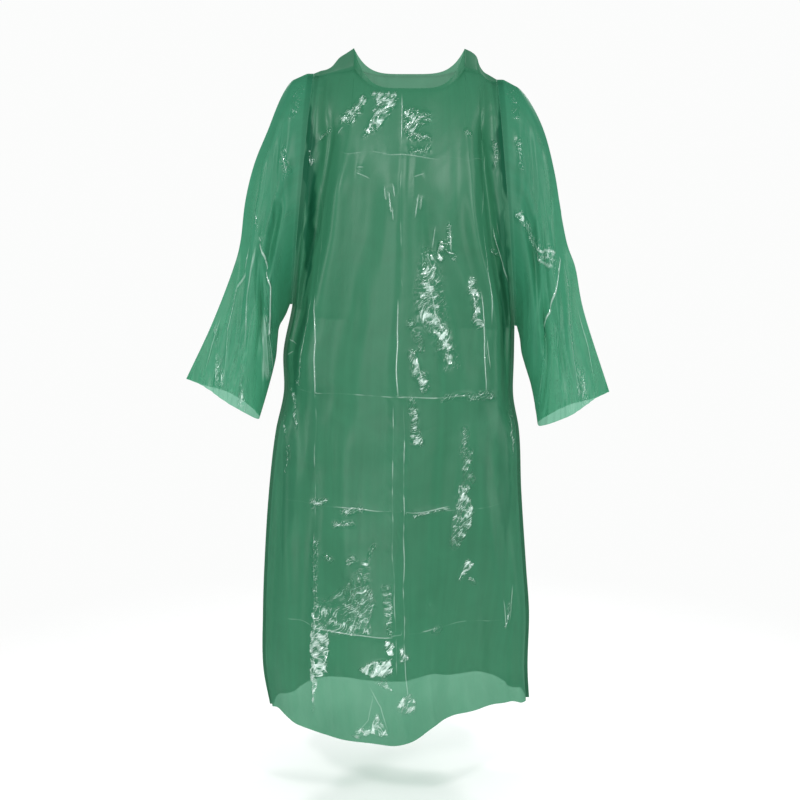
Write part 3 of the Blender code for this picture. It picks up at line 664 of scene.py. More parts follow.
filmLook = {
    "tint": (0.235, 0.49, 0.345, 1.0),  # light that comes straight through one layer
    "deepTint": (0.05, 0.24, 0.13, 1.0),  # the same through sealed film, and through the darkened places: painted shade in folds, the front hem and the sleeves near the armhole
    "deep": (0.036, 0.205, 0.108, 1.0),
    # colour of sealed film and of the darkened places, painted shade in folds among them
    "layeredAndDarkened": (0.006, 0.085, 0.042, 1.0),
    "paintedHighlight": (0.66, 0.87, 0.77, 1.0),  # painted highlight: pale colour of the glints on crumpled film and of the crease hairlines
    "dullness": 0.42,
    "sealLayers": 0.25,
    # how much of the light stays in the film, and what adds to it
    "density": 0.58,
    "edgeDensity": 0.20,
    "edgePower": 2.6,
    # denser where darkening is painted (shade in folds among it), and where glints and crease hairlines are
    # painted pale
    "darkenedDensity": 0.22,
    "flashDensity": 0.48,
    "creaseDensity": 0.15,
    "cloud": {"size": 0.11, "warp": 0.6, "density": 0.24, "roughness": 0.08},
    "streak": {"size": (0.016, 0.45), "density": 0.17},
    # lines and facets of crumpled film, and their shares in its relief and in its painted glints
    "bend": {"scale": 15.0, "reach": 0.045},
    "crest": {"size": (0.036, 0.0074), "turn": -0.85, "sharp": 7.5, "relief": 0.55, "light": 0.55},
    "fine": {"size": (0.019, 0.0048), "turn": -0.30, "sharp": 7.0, "relief": 0.25, "light": 0.32},
    "facet": {"size": (0.024, 0.0075), "turn": -0.70, "relief": 0.9, "light": 0.50},
    "lineWarp": 0.4,
    # painted glints: how crumpling, a threshold and a gain turn the lines and facets pale
    "flash": {"crumple": 1.12, "start": 1.38, "gain": 1.30},
    "crinkleHeight": 0.0014,
    # crease hairline: real relief and gloss, and a painted pale line in the colour (light)
    "crease": {"width": 0.0012, "full": 1.3, "relief": 0.5, "light": 0.55, "gloss": 0.45, "roughness": 0.12},
    # gloss of calm and of crumpled film, and the roughness of slack film and of crisp facets
    "gloss": (0.026, 0.27),
    "flashGloss": 0.85,
    "crumpleGloss": {"start": 0.2, "gain": 0.12},
    "rim": {"power": 5.0, "gloss": 0.04},
    "layersAndDarkeningDull": 0.8,
    "roughness": {"From Min": 0.15, "From Max": 0.55, "To Min": 0.40, "To Max": 0.16},
}
sleeveLook = dict(filmLook, tint=(0.31, 0.62, 0.46, 1.0), deep=(0.040, 0.29, 0.165, 1.0), density=0.40)


def makeFilm(name, look):
    material = bpy.data.materials.new(name)
    wire = emptyTree(material)
    place = wire.make("ShaderNodeUVMap", {"uv_map": "cut"})
    crestLook, fineLook, facetLook, creaseLook = (look[part] for part in ("crest", "fine", "facet", "crease"))

    def mark(label):  # a value that the film's mesh carries
        return wire.make("ShaderNodeAttribute", {"attribute_name": label}, output=2)

    def noise(spot, scale=1.0, detail=1.0, rough=0.5, warp=0.0, output=0):
        values = {"Vector": spot, "Scale": scale, "Detail": detail, "Roughness": rough, "Distortion": warp}
        return wire.make("ShaderNodeTexNoise", {"noise_dimensions": "2D"}, values, output)

    def held(value):  # the same value, kept between 0 and 1
        return wire.make("ShaderNodeMath", {"operation": "MULTIPLY", "use_clamp": True}, {0: value, 1: 1.0})

    def blend(share, first, second):  # a colour between two
        return wire.make("ShaderNodeMix", {"data_type": "RGBA"}, {0: share, 6: first, 7: second}, output=2)

    crumple, seal, creased, beside, darkened = map(mark, ("crumple", "seal", "crease", "beside", "darkened"))
    line = creaseLook["full"] - abs(beside) * (1.0 / creaseLook["width"])
    crease = creased * held(line)  # a hairline along each pressed crease: real relief and gloss, and a painted pale line in the colour
    cloud = noise(place, 1.0 / look["cloud"]["size"], 2.0, 0.55, look["cloud"]["warp"]) - 0.5
    narrow = (1.0 / look["streak"]["size"][0], 1.0 / look["streak"]["size"][1], 1.0)
    upright = wire.make("ShaderNodeMapping", {}, {"Vector": place, "Scale": narrow})
    streak = noise(upright, 1.0, 2.0, 0.55) - 0.5
    swirl = noise(place, look["bend"]["scale"], output=1)
    reach = (look["bend"]["reach"], look["bend"]["reach"], 0.0)
    bent = wire.make("ShaderNodeVectorMath", {"operation": "MULTIPLY_ADD"}, {0: swirl, 1: reach, 2: place})

    def grain(part):  # places stretched so that a pattern on them runs in long narrow lines
        values = {"Vector": bent, "Rotation": (0.0, 0.0, part["turn"]), "Scale": (*part["size"], 1.0)}
        return wire.make("ShaderNodeMapping", {"vector_type": "TEXTURE"}, values)

    def crests(part):  # thin lines where a noise crosses its middle
        return held(1.0 - abs(noise(grain(part), warp=look["lineWarp"]) * 2.0 - 1.0) * part["sharp"])

    def cells(feature, output):
        settings = {"voronoi_dimensions": "2D", "feature": feature}
        return wire.make("ShaderNodeTexVoronoi", settings, {"Vector": facets, "Scale": 1.0}, output)

    ridge, ridgeFine, facets = crests(crestLook), crests(fineLook), grain(facetLook)
    facet, facetGlint = cells("DISTANCE_TO_EDGE", 0), cells("F1", 1)  # each facet gets its own brightness in the painted glints
    wave = ridge * crestLook["relief"] + ridgeFine * fineLook["relief"] + facet * facetLook["relief"]
    relief = wave * crumple + crease * creaseLook["relief"]
    values = {"Strength": 1.0, "Distance": look["crinkleHeight"], "Height": relief}
    bump = wire.make("ShaderNodeBump", {}, values)
    facing = wire.make("ShaderNodeLayerWeight", {}, {"Blend": 0.5, "Normal": bump}, output=1)
    light = ridge * crestLook["light"] + ridgeFine * fineLook["light"] + facetGlint * facetLook["light"]
    light = light + crumple * look["flash"]["crumple"] - look["flash"]["start"]
    flash = held(light * look["flash"]["gain"])  # painted glints: pale crests and facets, only in crumpled film
    # sealed seams are real layers of film; the darkened places add painted shade in folds, a darker front hem
    # and darker sleeves near the armhole
    layersAndDarkening = held(darkened + seal * look["sealLayers"])

    # deeper colour on sealed seams and on the darkened places, painted shade in folds among them
    base = blend(layersAndDarkening, look["deep"], look["layeredAndDarkened"])
    # painted highlight: glints and crease hairlines are paled towards a silvery colour
    colour = blend(held(flash + crease * creaseLook["light"]), base, look["paintedHighlight"])
    surface = wire.make("ShaderNodeBsdfPrincipled", {}, {
        "Base Color": colour, "Roughness": look["dullness"], "Specular IOR Level": 0.0, "Normal": bump,
    })
    single = wire.make("ShaderNodeBsdfTransparent", {}, {"Color": look["tint"]})
    folded = wire.make("ShaderNodeBsdfTransparent", {}, {"Color": look["deepTint"]})
    density = look["density"] + cloud * look["cloud"]["density"] + streak * look["streak"]["density"]
    # denser at grazing angles, and where darkening is painted (shade in folds among it)
    density = density + facing ** look["edgePower"] * look["edgeDensity"] + darkened * look["darkenedDensity"]
    # where glints and crease hairlines are painted pale, the film is also denser, so that the pale colour
    # shows
    density = held(density + flash * look["flashDensity"] + crease * look["creaseDensity"])
    body = mixShader(wire, density, mixShader(wire, layersAndDarkening, single, folded), surface)

    ruffled = wire.make("ShaderNodeMapRange", {}, dict(look["roughness"], Value=crumple))
    rough = ruffled + cloud * look["cloud"]["roughness"] - crease * creaseLook["roughness"]
    values = {"Color": (1.0, 1.0, 1.0, 1.0), "Roughness": rough, "Normal": bump}
    gloss = wire.make("ShaderNodeBsdfGlossy", {}, values)
    ruffle = (crumple - look["crumpleGloss"]["start"]) * look["crumpleGloss"]["gain"]
    glint = held(flash * look["flashGloss"] + crease * creaseLook["gloss"] + ruffle)
    dull, bright = look["gloss"]
    share = glint * (bright - dull) + dull + facing ** look["rim"]["power"] * look["rim"]["gloss"]
    film = mixShader(wire, share * (1.0 - layersAndDarkening * look["layersAndDarkeningDull"]), body, gloss)
    wire.make("ShaderNodeOutputMaterial", {}, {"Surface": film})
    return material


bodyFilm = makeFilm("bodyFilm", filmLook)
sleeveFilm = makeFilm("sleeveFilm", sleeveLook)
print("film materials made")


# crumpled relief, by geometry nodes

crinkle = {
    "Crumple Depth": 0.0026,
    "Crumple Size": 0.020,
    "Ripple Depth": 0.0011,
    "Ripple Size": 0.055,
    "Seed": 7,
}
crinkleLines = {
    "sharp": 3.2,
    "wideWarp": 1.1,
    "wideShare": 0.66,
    "fineSize": 0.45,
    "fineWarp": 0.9,
    "fineShare": 0.34,
    "rippleWarp": 0.3,
    "seedStep": 3.7,
}


def makeCrinkleTree():
    tree = bpy.data.node_groups.new("Film crinkle", "GeometryNodeTree")
    tree.interface.new_socket("Geometry", in_out="INPUT", socket_type="NodeSocketGeometry")
    for name, value in crinkle.items():
        kind = "NodeSocketInt" if name == "Seed" else "NodeSocketFloat"
        tree.interface.new_socket(name, in_out="INPUT", socket_type=kind).default_value = value
    tree.interface.new_socket("Material", in_out="INPUT", socket_type="NodeSocketMaterial")
    tree.interface.new_socket("Geometry", in_out="OUTPUT", socket_type="NodeSocketGeometry")
    entry = tree.nodes.new("NodeGroupInput")
    given = {socket.name: Wire(tree, socket) for socket in entry.outputs if socket.name}
    wire = Wire(tree)

    def mark(label, kind="FLOAT"):  # a value that the film's mesh carries
        return wire.make("GeometryNodeInputNamedAttribute", {"data_type": kind}, {"Name": label})

    def noise(size, detail, warp, shift):
        offset = given["Seed"] * crinkleLines["seedStep"] + shift
        values = {"Vector": place, "W": offset, "Detail": detail, "Distortion": warp}
        values["Scale"] = wire.maths("DIVIDE", 1.0, size)
        return wire.make("ShaderNodeTexNoise", {"noise_dimensions": "4D"}, values)

    def lines(size, warp, shift):  # sharp lines where a noise crosses its middle
        return 1.0 - abs(noise(size, 0.0, warp, shift) * 2.0 - 1.0) * crinkleLines["sharp"]

    place, crumple, calm = mark("filmPlace", "FLOAT_VECTOR"), mark("crumple"), mark("calm")
    wide = lines(given["Crumple Size"], crinkleLines["wideWarp"], 0.0)
    fine = lines(given["Crumple Size"] * crinkleLines["fineSize"], crinkleLines["fineWarp"], 5.0)
    raised = wide * crinkleLines["wideShare"] + fine * crinkleLines["fineShare"]
    ripple = noise(given["Ripple Size"], 1.0, crinkleLines["rippleWarp"], 9.0)
    ripple = (ripple - 0.5) * 2.0 * given["Ripple Depth"]
    height = (raised * crumple * given["Crumple Depth"] + ripple) * calm
    normal = wire.make("GeometryNodeInputNormal")
    offset = wire.make("ShaderNodeVectorMath", {"operation": "SCALE"}, {0: normal, "Scale": height})
    moved = wire.make("GeometryNodeSetPosition", {}, {"Geometry": given["Geometry"], "Offset": offset})
    real = wire.make("GeometryNodeRealizeInstances", {}, {"Geometry": moved})
    done = wire.make("GeometryNodeSetMaterial", {}, {"Geometry": real, "Material": given["Material"]})
    wire.make("NodeGroupOutput", {}, {"Geometry": done})
    return tree


crinkleTree = makeCrinkleTree()


def crinkleFilm(piece, material, seed, depthShare):
    live = piece.modifiers.new("Film crinkle", "NODES")
    live.node_group = crinkleTree
    ids = {item.name: item.identifier for item in crinkleTree.interface.items_tree if item.in_out == "INPUT"}
    live[ids["Seed"]] = seed
    live[ids["Crumple Depth"]] = crinkle["Crumple Depth"] * depthShare
    live[ids["Material"]] = material
    graph = bpy.context.evaluated_depsgraph_get()
    done = piece.evaluated_get(graph)
    plain = bpy.data.meshes.new_from_object(done, preserve_all_data_layers=True, depsgraph=graph)
    piece.modifiers.clear()
    old, piece.data = piece.data, plain
    bpy.data.meshes.remove(old)
    plain.name = piece.name
    plain.shade_smooth()


# body panels

panelGrid = {
    "rows": 402,
    "columns": 236,
    "band": 5,
    "samples": (600, 1600),
    "middleX": -0.006,
    "alongRow": 15.0,  # the columns are even along this row, the rows down this step
    "downStep": 10.0,
    "sideSeal": (0.86, 1.02),
    "topSeal": (0.9, 1.1),
    "shoulderEnd": 0.05,
}


def makeCloth(face):
    band = np.linspace(0.0, 1.0, panelGrid["band"])
    fine = np.linspace(1.0, steps["panel"] - 1.0, panelGrid["samples"][0])
    count = panelGrid["columns"] - 2 * panelGrid["band"] + 2
    middle = evenly(lambda s: panelPlace(face, s, np.full_like(s, panelGrid["alongRow"])), fine, count)
    across = np.concatenate((band[:-1], middle, steps["panel"] - 1.0 + band[1:]))
    fine = np.linspace(0.0, steps["yoke"] + steps["skirt"], panelGrid["samples"][1])
    rows = panelGrid["rows"]
    down = evenly(lambda r: panelPlace(face, np.full_like(r, panelGrid["downStep"]), r), fine, rows)
    step, row = np.meshgrid(across, down)
    points = panelPlace(face, step, row)
    level = int(np.argmin(np.abs(down - steps["yoke"])))
    centre = int(np.argmin(np.abs(points[level, :, 0] - panelGrid["middleX"])))
    return {"points": points, "step": step, "row": row, "place": filmLengths(points, centre, level)}


def panelBands(cloth):  # the sealed seams round a panel, and how far each point is from its side, top and hem
    step, row, place = cloth["step"], cloth["row"], cloth["place"]
    side = 1.0 - smoothStep(*panelGrid["sideSeal"], np.minimum(step, steps["panel"] - step))
    last = steps["shoulder"] + panelGrid["shoulderEnd"]
    onShoulder = (step <= last) | (step >= steps["panel"] - last)
    seal = np.maximum(side, (1.0 - smoothStep(*panelGrid["topSeal"], row)) * onShoulder)
    toSide = np.minimum(place[..., 0] - place[:, :1, 0], place[:, -1:, 0] - place[..., 0])
    return seal, toSide, place[..., 1] - place[:1, :, 1], place[-1:, :, 1] - place[..., 1]


puckers = {  # small waves beside a seam
    "side": {
        "height": 0.0004, "pitch": 0.024, "sway": 3.2, "swaySize": 0.05,
        "at": 0.015, "reach": 0.012, "start": (0.008, 0.016),
    },
    "top": {
        "height": 0.0005, "pitch": 0.026, "sway": 2.6, "swaySize": 0.06,
        "at": 0.014, "reach": 0.012, "start": (0.006, 0.012),
    },
    "armhole": {
        "height": 0.0004, "pitch": 0.023, "sway": 2.8, "swaySize": 0.05,
        "at": 0.022, "reach": 0.013, "start": (0.010, 0.018),
    },
}


def pucker(place, axis, toSeam, seam, seed):
    shape = puckers[seam]
    sway = shape["sway"] * wander(place, shape["swaySize"], seed)
    wave = np.sin(place[..., axis] * 2 * math.pi / shape["pitch"] + sway)
    near = np.exp(-((toSeam - shape["at"]) / shape["reach"]) ** 2) * smoothStep(*shape["start"], toSeam)
    return shape["height"] * wave * near


def unevenly(place, shape, seed):  # soft drape, longer down the cloth than across where it is stretched
    return shape["height"] * wander(place * np.array((1.0, shape["stretch"])), shape["size"], seed)


frontFolds = (
    # creases from packing, most of which come and go: kind, height and reach in mm, taper, places in mm
    ("dash", 0.4, 8, 0.1, (-120, -132), (0, -137), (150, -148)),
    ("crease", 0.8, 7, 0.3, (-48, -134), (-6, -136), (66, -145)),
    ("dash", -0.8, 10, 0.1, (-205, -577), (-62, -580), (65, -584), (185, -589)),
    ("dash", 1.3, 8, 0.1, (-58, -580), (65, -584), (168, -587)),
    ("dash", 0.6, 9, 0.08, (-230, -789), (-95, -792), (18, -800), (195, -798)),
    ("crease", 1.2, 7, 0.3, (-140, -790), (-95, -792), (-30, -798)),
    ("crease", 1.8, 7, 0.2, (12, -801), (45, -797), (84, -792)),
    ("dash", 0.5, 9, 0.08, (-240, -1020), (-100, -1029), (57, -1033), (195, -1028)),
    ("crease", 1.5, 8, 0.12, (-180, -1025), (-100, -1029), (-18, -1033)),
    ("dash", 1.2, 8, 0.2, (30, -1033), (68, -1032)),
    ("crease", 1.4, 7, 0.25, (-6, -20), (-7, -70), (-8, -118)),
    ("dash", 0.5, 9, 0.1, (-8, -110), (-6, -400)),
    ("crease", 2.4, 6, 0.15, (-14, -395), (-14, -480), (-12, -585)),
    ("dash", 1.5, 7, 0.06, (-4, -588), (-4, -800), (-3, -1050)),
    ("dash", -1.3, 8, 0.06, (-23, -590), (-22, -860), (-18, -1110)),
    ("crease", 1.5, 7, 0.2, (-4, -1045), (0, -1100), (6, -1160)),
    ("crease", 2.2, 7, 0.15, (-167, -390), (-168, -480), (-169, -590)),
    ("dash", -0.8, 9, 0.12, (-160, -180), (-163, -385)),
    ("dash", 1.6, 8, 0.08, (-174, -840), (-173, -1000), (-172, -1185)),
    ("dash", -0.9, 9, 0.1, (-168, -600), (-172, -840)),
    ("dash", 0.9, 9, 0.12, (150, -120), (140, -260)),
    # pulls and lines of the worn form
    ("crease", 2.4, 8, 0.2, (-174, -395), (-188, -480), (-202, -570)),
    ("crease", 1.7, 7, 0.25, (143, -262), (152, -350), (162, -455)),
    ("crease", 2.2, 7, 0.2, (162, -262), (182, -335), (200, -428)),
    ("crease", 2.4, 7, 0.15, (140, -385), (147, -480), (153, -585)),
    # hairlines where the film is crumpled a little
    ("crease", 1.2, 6, 0.3, (-38, -190), (-34, -222)),
    ("crease", 1.5, 6, 0.3, (-31, -198), (-25, -246)),
    ("crease", 1, 6, 0.3, (-22, -186), (-19, -214)),
    ("crease", 1.2, 6, 0.3, (-24, -224), (-22, -256)),
    ("crease", 1.3, 6, 0.3, (22, -202), (18, -252)),
    ("crease", 1, 6, 0.3, (29, -206), (27, -238)),
    ("crease", 0.9, 6, 0.3, (-92, -166), (-64, -178)),
    ("crease", 0.9, 6, 0.3, (-90, -158), (-76, -160)),
    ("crease", 1, 6, 0.3, (14, -174), (36, -170)),
    ("crease", 1.2, 6, 0.3, (-124, -100), (-112, -86)),
    ("crease", 1.2, 6, 0.3, (54, -262), (48, -310)),
    ("crease", 1.4, 6, 0.3, (83, -262), (84, -316)),
    ("crease", 1.4, 6, 0.3, (124, -376), (134, -446)),
    ("crease", 1.6, 6, 0.3, (40, -350), (56, -440)),
    ("crease", 1.4, 6, 0.3, (56, -420), (84, -520)),
    ("crease", 1.2, 6, 0.3, (20, -500), (34, -568)),
    ("crease", 1.2, 6, 0.3, (-222, -480), (-206, -496)),
    ("crease", 1.2, 6, 0.3, (-226, -520), (-212, -508)),
    ("crease", 1.2, 6, 0.3, (202, -600), (214, -680)),
    ("crease", 1.4, 6, 0.3, (198, -620), (206, -720)),
    ("crease", 1.2, 6, 0.3, (150, -470), (160, -540)),
    ("crease", 1.4, 6, 0.3, (210, -960), (202, -1040)),
    ("dash", 1.6, 7, 0.2, (165, -222), (188, -335), (200, -470)),
    ("dash", 1.3, 7, 0.25, (184, -262), (204, -360), (208, -466)),
    ("crease", 1.3, 7, 0.3, (168, -112), (169, -165)),
    ("soft", 2.2, 16, 0.35, (166, -105), (178, -150), (188, -215)),
    ("soft", 2, 15, 0.35, (184, -110), (174, -160), (164, -220)),
    ("soft", -4.4, 22, 0.3, (-176, -80), (-172, -190), (-166, -320)),
    ("soft", -4, 20, 0.3, (172, -30), (176, -140), (174, -260)),
    ("soft", 3, 34, 0.4, (-110, 0), (-126, -120), (-138, -300)),
    ("soft", -2.4, 32, 0.4, (-80, -20), (-104, -160), (-112, -360)),
    ("soft", 2.4, 30, 0.4, (-58, -150), (-76, -330), (-82, -520)),
    ("soft", 2.8, 34, 0.4, (118, -10), (126, -120), (118, -260)),
    ("soft", -2.4, 30, 0.4, (92, -40), (104, -170), (112, -330)),
    ("soft", 2.2, 26, 0.4, (48, -160), (70, -300), (88, -450)),
    ("soft", -2, 24, 0.4, (30, -200), (48, -340), (60, -470)),
    ("soft", 3.6, 30, 0.3, (120, -590), (128, -720), (140, -920)),
    ("soft", -3.4, 28, 0.3, (84, -600), (70, -760), (60, -980)),
    ("soft", 3, 24, 0.3, (186, -600), (196, -720), (206, -860)),
    ("soft", -3.2, 24, 0.3, (160, -610), (170, -780), (182, -1020)),
    ("soft", 3.4, 28, 0.3, (-120, -600), (-116, -740), (-108, -960)),
    ("soft", -2.8, 28, 0.3, (-80, -620), (-82, -800), (-76, -980)),
    ("soft", 4, 26, 0.3, (-214, -590), (-226, -760), (-236, -980)),
    ("soft", -3.8, 26, 0.3, (-196, -560), (-206, -720), (-210, -960)),
    ("soft", 3.6, 24, 0.3, (-140, -1060), (-130, -1160), (-120, -1250)),
    ("soft", -3.2, 24, 0.3, (110, -1000), (118, -1100), (122, -1220)),
    ("soft", 3.2, 22, 0.3, (160, -980), (168, -1090), (172, -1200)),
    ("crease", 0.7, 8, 0.3, (-98, -1223), (-68, -1190), (-56, -1127)),
    ("crease", 0.9, 8, 0.3, (-70, -1120), (-46, -1165), (-34, -1215)),
    ("crease", 1.4, 7, 0.3, (190, -985), (196, -1050)),
)
frontCrumples = (
    # strength, reach and places in mm
    (0.7, 6, (-157, -103), (-143, -91)),
    (0.75, 6, (110, -88), (119, -97)),
    (0.66, 6, (166, -118), (168, -155)),
    (0.62, 6, (8, -126), (44, -124)),
    (0.9, 10, (68, -300), (66, -324)),
    (0.66, 6, (80, -268), (87, -330)),
    (0.95, 9, (124, -372), (129, -405), (136, -450)),
    (0.6, 10, (14, -446), (30, -490)),
    (0.85, 11, (10, -502), (34, -562)),
    (0.8, 9, (12, -586), (24, -668)),
    (0.66, 7, (164, -316), (172, -322)),
    (0.64, 6, (-205, -560)),
    (0.6, 7, (70, -583), (165, -588)),
    (0.8, 7, (-178, -797), (-166, -790), (-152, -780)),
    (0.74, 9, (-112, -797), (-82, -798)),
    (0.78, 8, (-128, -826), (-102, -820)),
    (0.9, 4, (18, -806), (45, -800), (78, -796)),
    (0.6, 10, (112, -650), (120, -745)),
    (0.86, 5, (107, -937), (116, -920), (126, -905)),
    (0.7, 5, (126, -940), (130, -948)),
    (0.66, 8, (-142, -892), (-150, -886)),
    (0.7, 7, (-104, -896), (-94, -886)),
    (0.66, 6, (-232, -636), (-228, -672)),
    (0.74, 5, (-215, -585), (-211, -612), (-209, -650)),
    (0.68, 5, (-222, -690), (-226, -735)),
    (0.66, 5, (-197, -535), (-203, -572)),
    (0.7, 5, (188, -170), (196, -205)),
    (0.68, 5, (196, -250), (203, -300)),
    (0.66, 6, (-178, -130), (-170, -150)),
    (0.76, 5, (194, -1039), (200, -1002)),
    (0.6, 8, (52, -1034), (68, -1034)),
)
frontPatches = (
    # crumpled film with a clear outline: strength, softness of the outline and corners in mm
    (1.06, 5, (-67, -19), (-14, -23), (-14, -42), (-23, -57), (-39, -76), (-54, -94), (-79, -103),
        (-73, -88), (-61, -66), (-54, -45)),
    (1.02, 5, (-67, -33), (-79, -57), (-98, -79), (-119, -79), (-119, -66), (-107, -57), (-79, -27)),
    (0.98, 7, (-5, -51), (45, -57), (45, -76), (20, -91), (45, -103), (45, -112), (11, -112), (1, -100),
        (-5, -69)),
    (1.04, 4, (32, -327), (45, -342), (57, -342), (54, -373), (60, -404), (68, -446), (84, -470),
        (92, -528), (74, -520), (60, -470), (39, -446), (20, -425), (26, -373), (29, -348)),
    (0.64, 12, (30, -300), (56, -310), (68, -360), (80, -440), (102, -530), (72, -538), (46, -470),
        (18, -440), (14, -380)),
    (0.72, 5, (196, -612), (206, -624), (214, -690), (206, -716), (198, -670)),
    (0.98, 3, (102, -752), (123, -749), (117, -773), (130, -796), (126, -827), (112, -857), (95, -879),
        (85, -870), (88, -830), (93, -800), (98, -773)),
    (0.66, 4, (-179, -858), (-165, -858), (-165, -974), (-178, -1002)),
    (0.64, 10, (-165, -975), (-107, -930), (-80, -887), (-60, -854), (-54, -860), (-67, -894),
        (-60, -975)),
    (0.86, 4, (-180, -1032), (-179, -982), (-165, -979), (-137, -979), (-107, -962), (-93, -935),
        (-67, -935), (-57, -962), (-59, -982), (-67, -1002), (-64, -1026), (-94, -1032)),
    (0.78, 4, (-44, -935), (-23, -935), (-23, -1032), (-36, -1026), (-41, -982)),
    (1.24, 2, (-183, -1031), (-143, -1031), (-145, -1083), (-151, -1097), (-146, -1103), (-165, -1127),
        (-171, -1144), (-179, -1198), (-183, -1049)),
    (1.16, 2, (-41, -1039), (-22, -1039), (-22, -1070), (-34, -1066)),
    (1.2, 2, (-87, -1093), (-67, -1080), (-51, -1075), (-24, -1073), (-24, -1103), (-41, -1110),
        (-54, -1107), (-74, -1103)),
    (1.24, 2, (-59, -1117), (-34, -1113), (-24, -1134)),
    (1.2, 2, (-100, -1225), (-94, -1211), (-67, -1201), (-52, -1172), (-31, -1218), (-47, -1221),
        (-64, -1218), (-94, -1228)),
    (1.06, 3, (-77, -1234), (-67, -1244), (-21, -1243), (-19, -1260), (-67, -1258), (-74, -1248)),
    (1.12, 2, (-8, -1051), (7, -1080), (-4, -1085), (-13, -1080)),
    (1.02, 3, (-16, -1161), (-4, -1149), (9, -1147), (21, -1164), (21, -1181), (12, -1191), (-4, -1184),
        (-14, -1174)),
)
backFolds = (
    # hidden in the photograph: the same packing creases, and uneven drape of the same kind
    ("dash", 0.7, 8, 0.35, (-120, -142), (0, -146), (120, -150)),
    ("dash", 1.2, 9, 0.2, (-180, -588), (-20, -590), (90, -592)),
    ("dash", 0.9, 8, 0.3, (-140, -803), (10, -806), (120, -804)),
    ("dash", 1.2, 8, 0.2, (-100, -1034), (20, -1036), (180, -1030)),
    ("dash", 0.9, 8, 0.2, (4, -20), (2, -240), (4, -420)),
    ("dash", 1.2, 8, 0.1, (4, -560), (0, -900), (4, -1205)),
    ("dash", -1, 8, 0.1, (24, -640), (20, -850), (22, -1120)),
    ("dash", 0.9, 8, 0.2, (162, -700), (166, -1160)),
    ("dash", 0.7, 8, 0.3, (-158, -360), (-166, -620), (-170, -800)),
    ("soft", -4.4, 22, 0.3, (-174, -60), (-170, -180), (-162, -330)),
    ("soft", -4.2, 22, 0.3, (172, -60), (172, -190), (166, -340)),
    ("soft", 3, 32, 0.4, (-112, 0), (-122, -140), (-132, -330)),
    ("soft", 3.2, 32, 0.4, (120, 0), (122, -150), (130, -340)),
    ("soft", -2.4, 28, 0.4, (-76, -40), (-94, -230), (-96, -440)),
    ("soft", -2.6, 28, 0.4, (80, -40), (90, -210), (100, -430)),
    ("soft", 2.4, 28, 0.4, (-40, -120), (-60, -330), (-72, -560)),
    ("soft", 2.6, 28, 0.4, (46, -140), (60, -330), (64, -520)),
    ("crease", 1.5, 7, 0.3, (-150, -260), (-166, -380), (-182, -520)),
    ("crease", 1.4, 7, 0.3, (148, -290), (160, -410), (170, -540)),
    ("dash", 1.5, 7, 0.25, (-176, -220), (-190, -340), (-204, -440)),
    ("dash", 1.5, 7, 0.25, (170, -230), (184, -340), (192, -450)),
    ("soft", 4, 30, 0.3, (-140, -620), (-150, -820), (-156, -1100)),
    ("soft", -3.8, 30, 0.3, (-96, -640), (-102, -860), (-110, -1150)),
    ("soft", 4, 30, 0.3, (130, -600), (140, -840), (148, -1120)),
    ("soft", -3.8, 28, 0.3, (84, -660), (92, -880), (98, -1160)),
    ("soft", 3.2, 26, 0.3, (-52, -820), (-50, -1000), (-58, -1200)),
    ("soft", -3.4, 24, 0.3, (190, -640), (200, -860), (208, -1100)),
    ("soft", -3.4, 24, 0.3, (-212, -620), (-226, -840), (-240, -1100)),
    ("crease", 1.4, 8, 0.3, (-80, -1180), (-56, -1120), (-60, -1070)),
    ("crease", 1.4, 8, 0.3, (60, -1170), (74, -1110), (60, -1060)),
)
backCrumples = (
    (0.8, 15, (-60, -40), (-50, -100)),
    (0.75, 13, (40, -60), (56, -120)),
    (0.5, 10, (-30, -200), (-20, -260)),
    (0.6, 12, (-90, -300), (-76, -380)),
    (0.9, 16, (-80, -430), (-88, -540)),
    (0.7, 12, (-20, -470), (-30, -570)),
    (0.65, 12, (60, -560), (50, -660)),
    (0.5, 10, (-160, -588), (-60, -590)),
    (0.78, 8, (-60, -803), (-20, -806)),
    (0.62, 6, (70, -806), (110, -803)),
    (0.72, 14, (-128, -690), (-106, -740), (-112, -790)),
    (0.8, 11, (-98, -822), (-88, -868)),
    (0.55, 10, (-210, -660), (-216, -700)),
    (0.5, 10, (196, -980), (204, -1040)),
)
backPatches = (
    (0.74, 7, (46, -900), (70, -915), (104, -905), (128, -935), (150, -928), (138, -962), (112, -956),
        (90, -990), (66, -965), (58, -935)),
    (0.82, 6, (30, -992), (58, -976), (78, -1000), (110, -986), (134, -1006), (160, -990), (164, -1028),
        (120, -1030), (92, -1018), (60, -1034), (40, -1012)),
    (1.1, 3, (138, -1042), (165, -1040), (160, -1075), (166, -1110), (154, -1165), (148, -1120),
        (150, -1090), (140, -1078)),
    (1.08, 3, (26, -1072), (50, -1062), (70, -1086), (60, -1108), (40, -1104), (36, -1132), (26, -1112)),
    (1.02, 3, (-18, -1162), (8, -1150), (20, -1180), (2, -1196), (-14, -1188)),
    (1.08, 2, (-104, -1212), (-82, -1196), (-66, -1172), (-52, -1200), (-38, -1206), (-58, -1220),
        (-80, -1216)),
    (0.84, 5, (-72, -26), (-40, -22), (-30, -44), (-46, -62), (-50, -94), (-72, -118), (-78, -86),
        (-62, -62)),
)


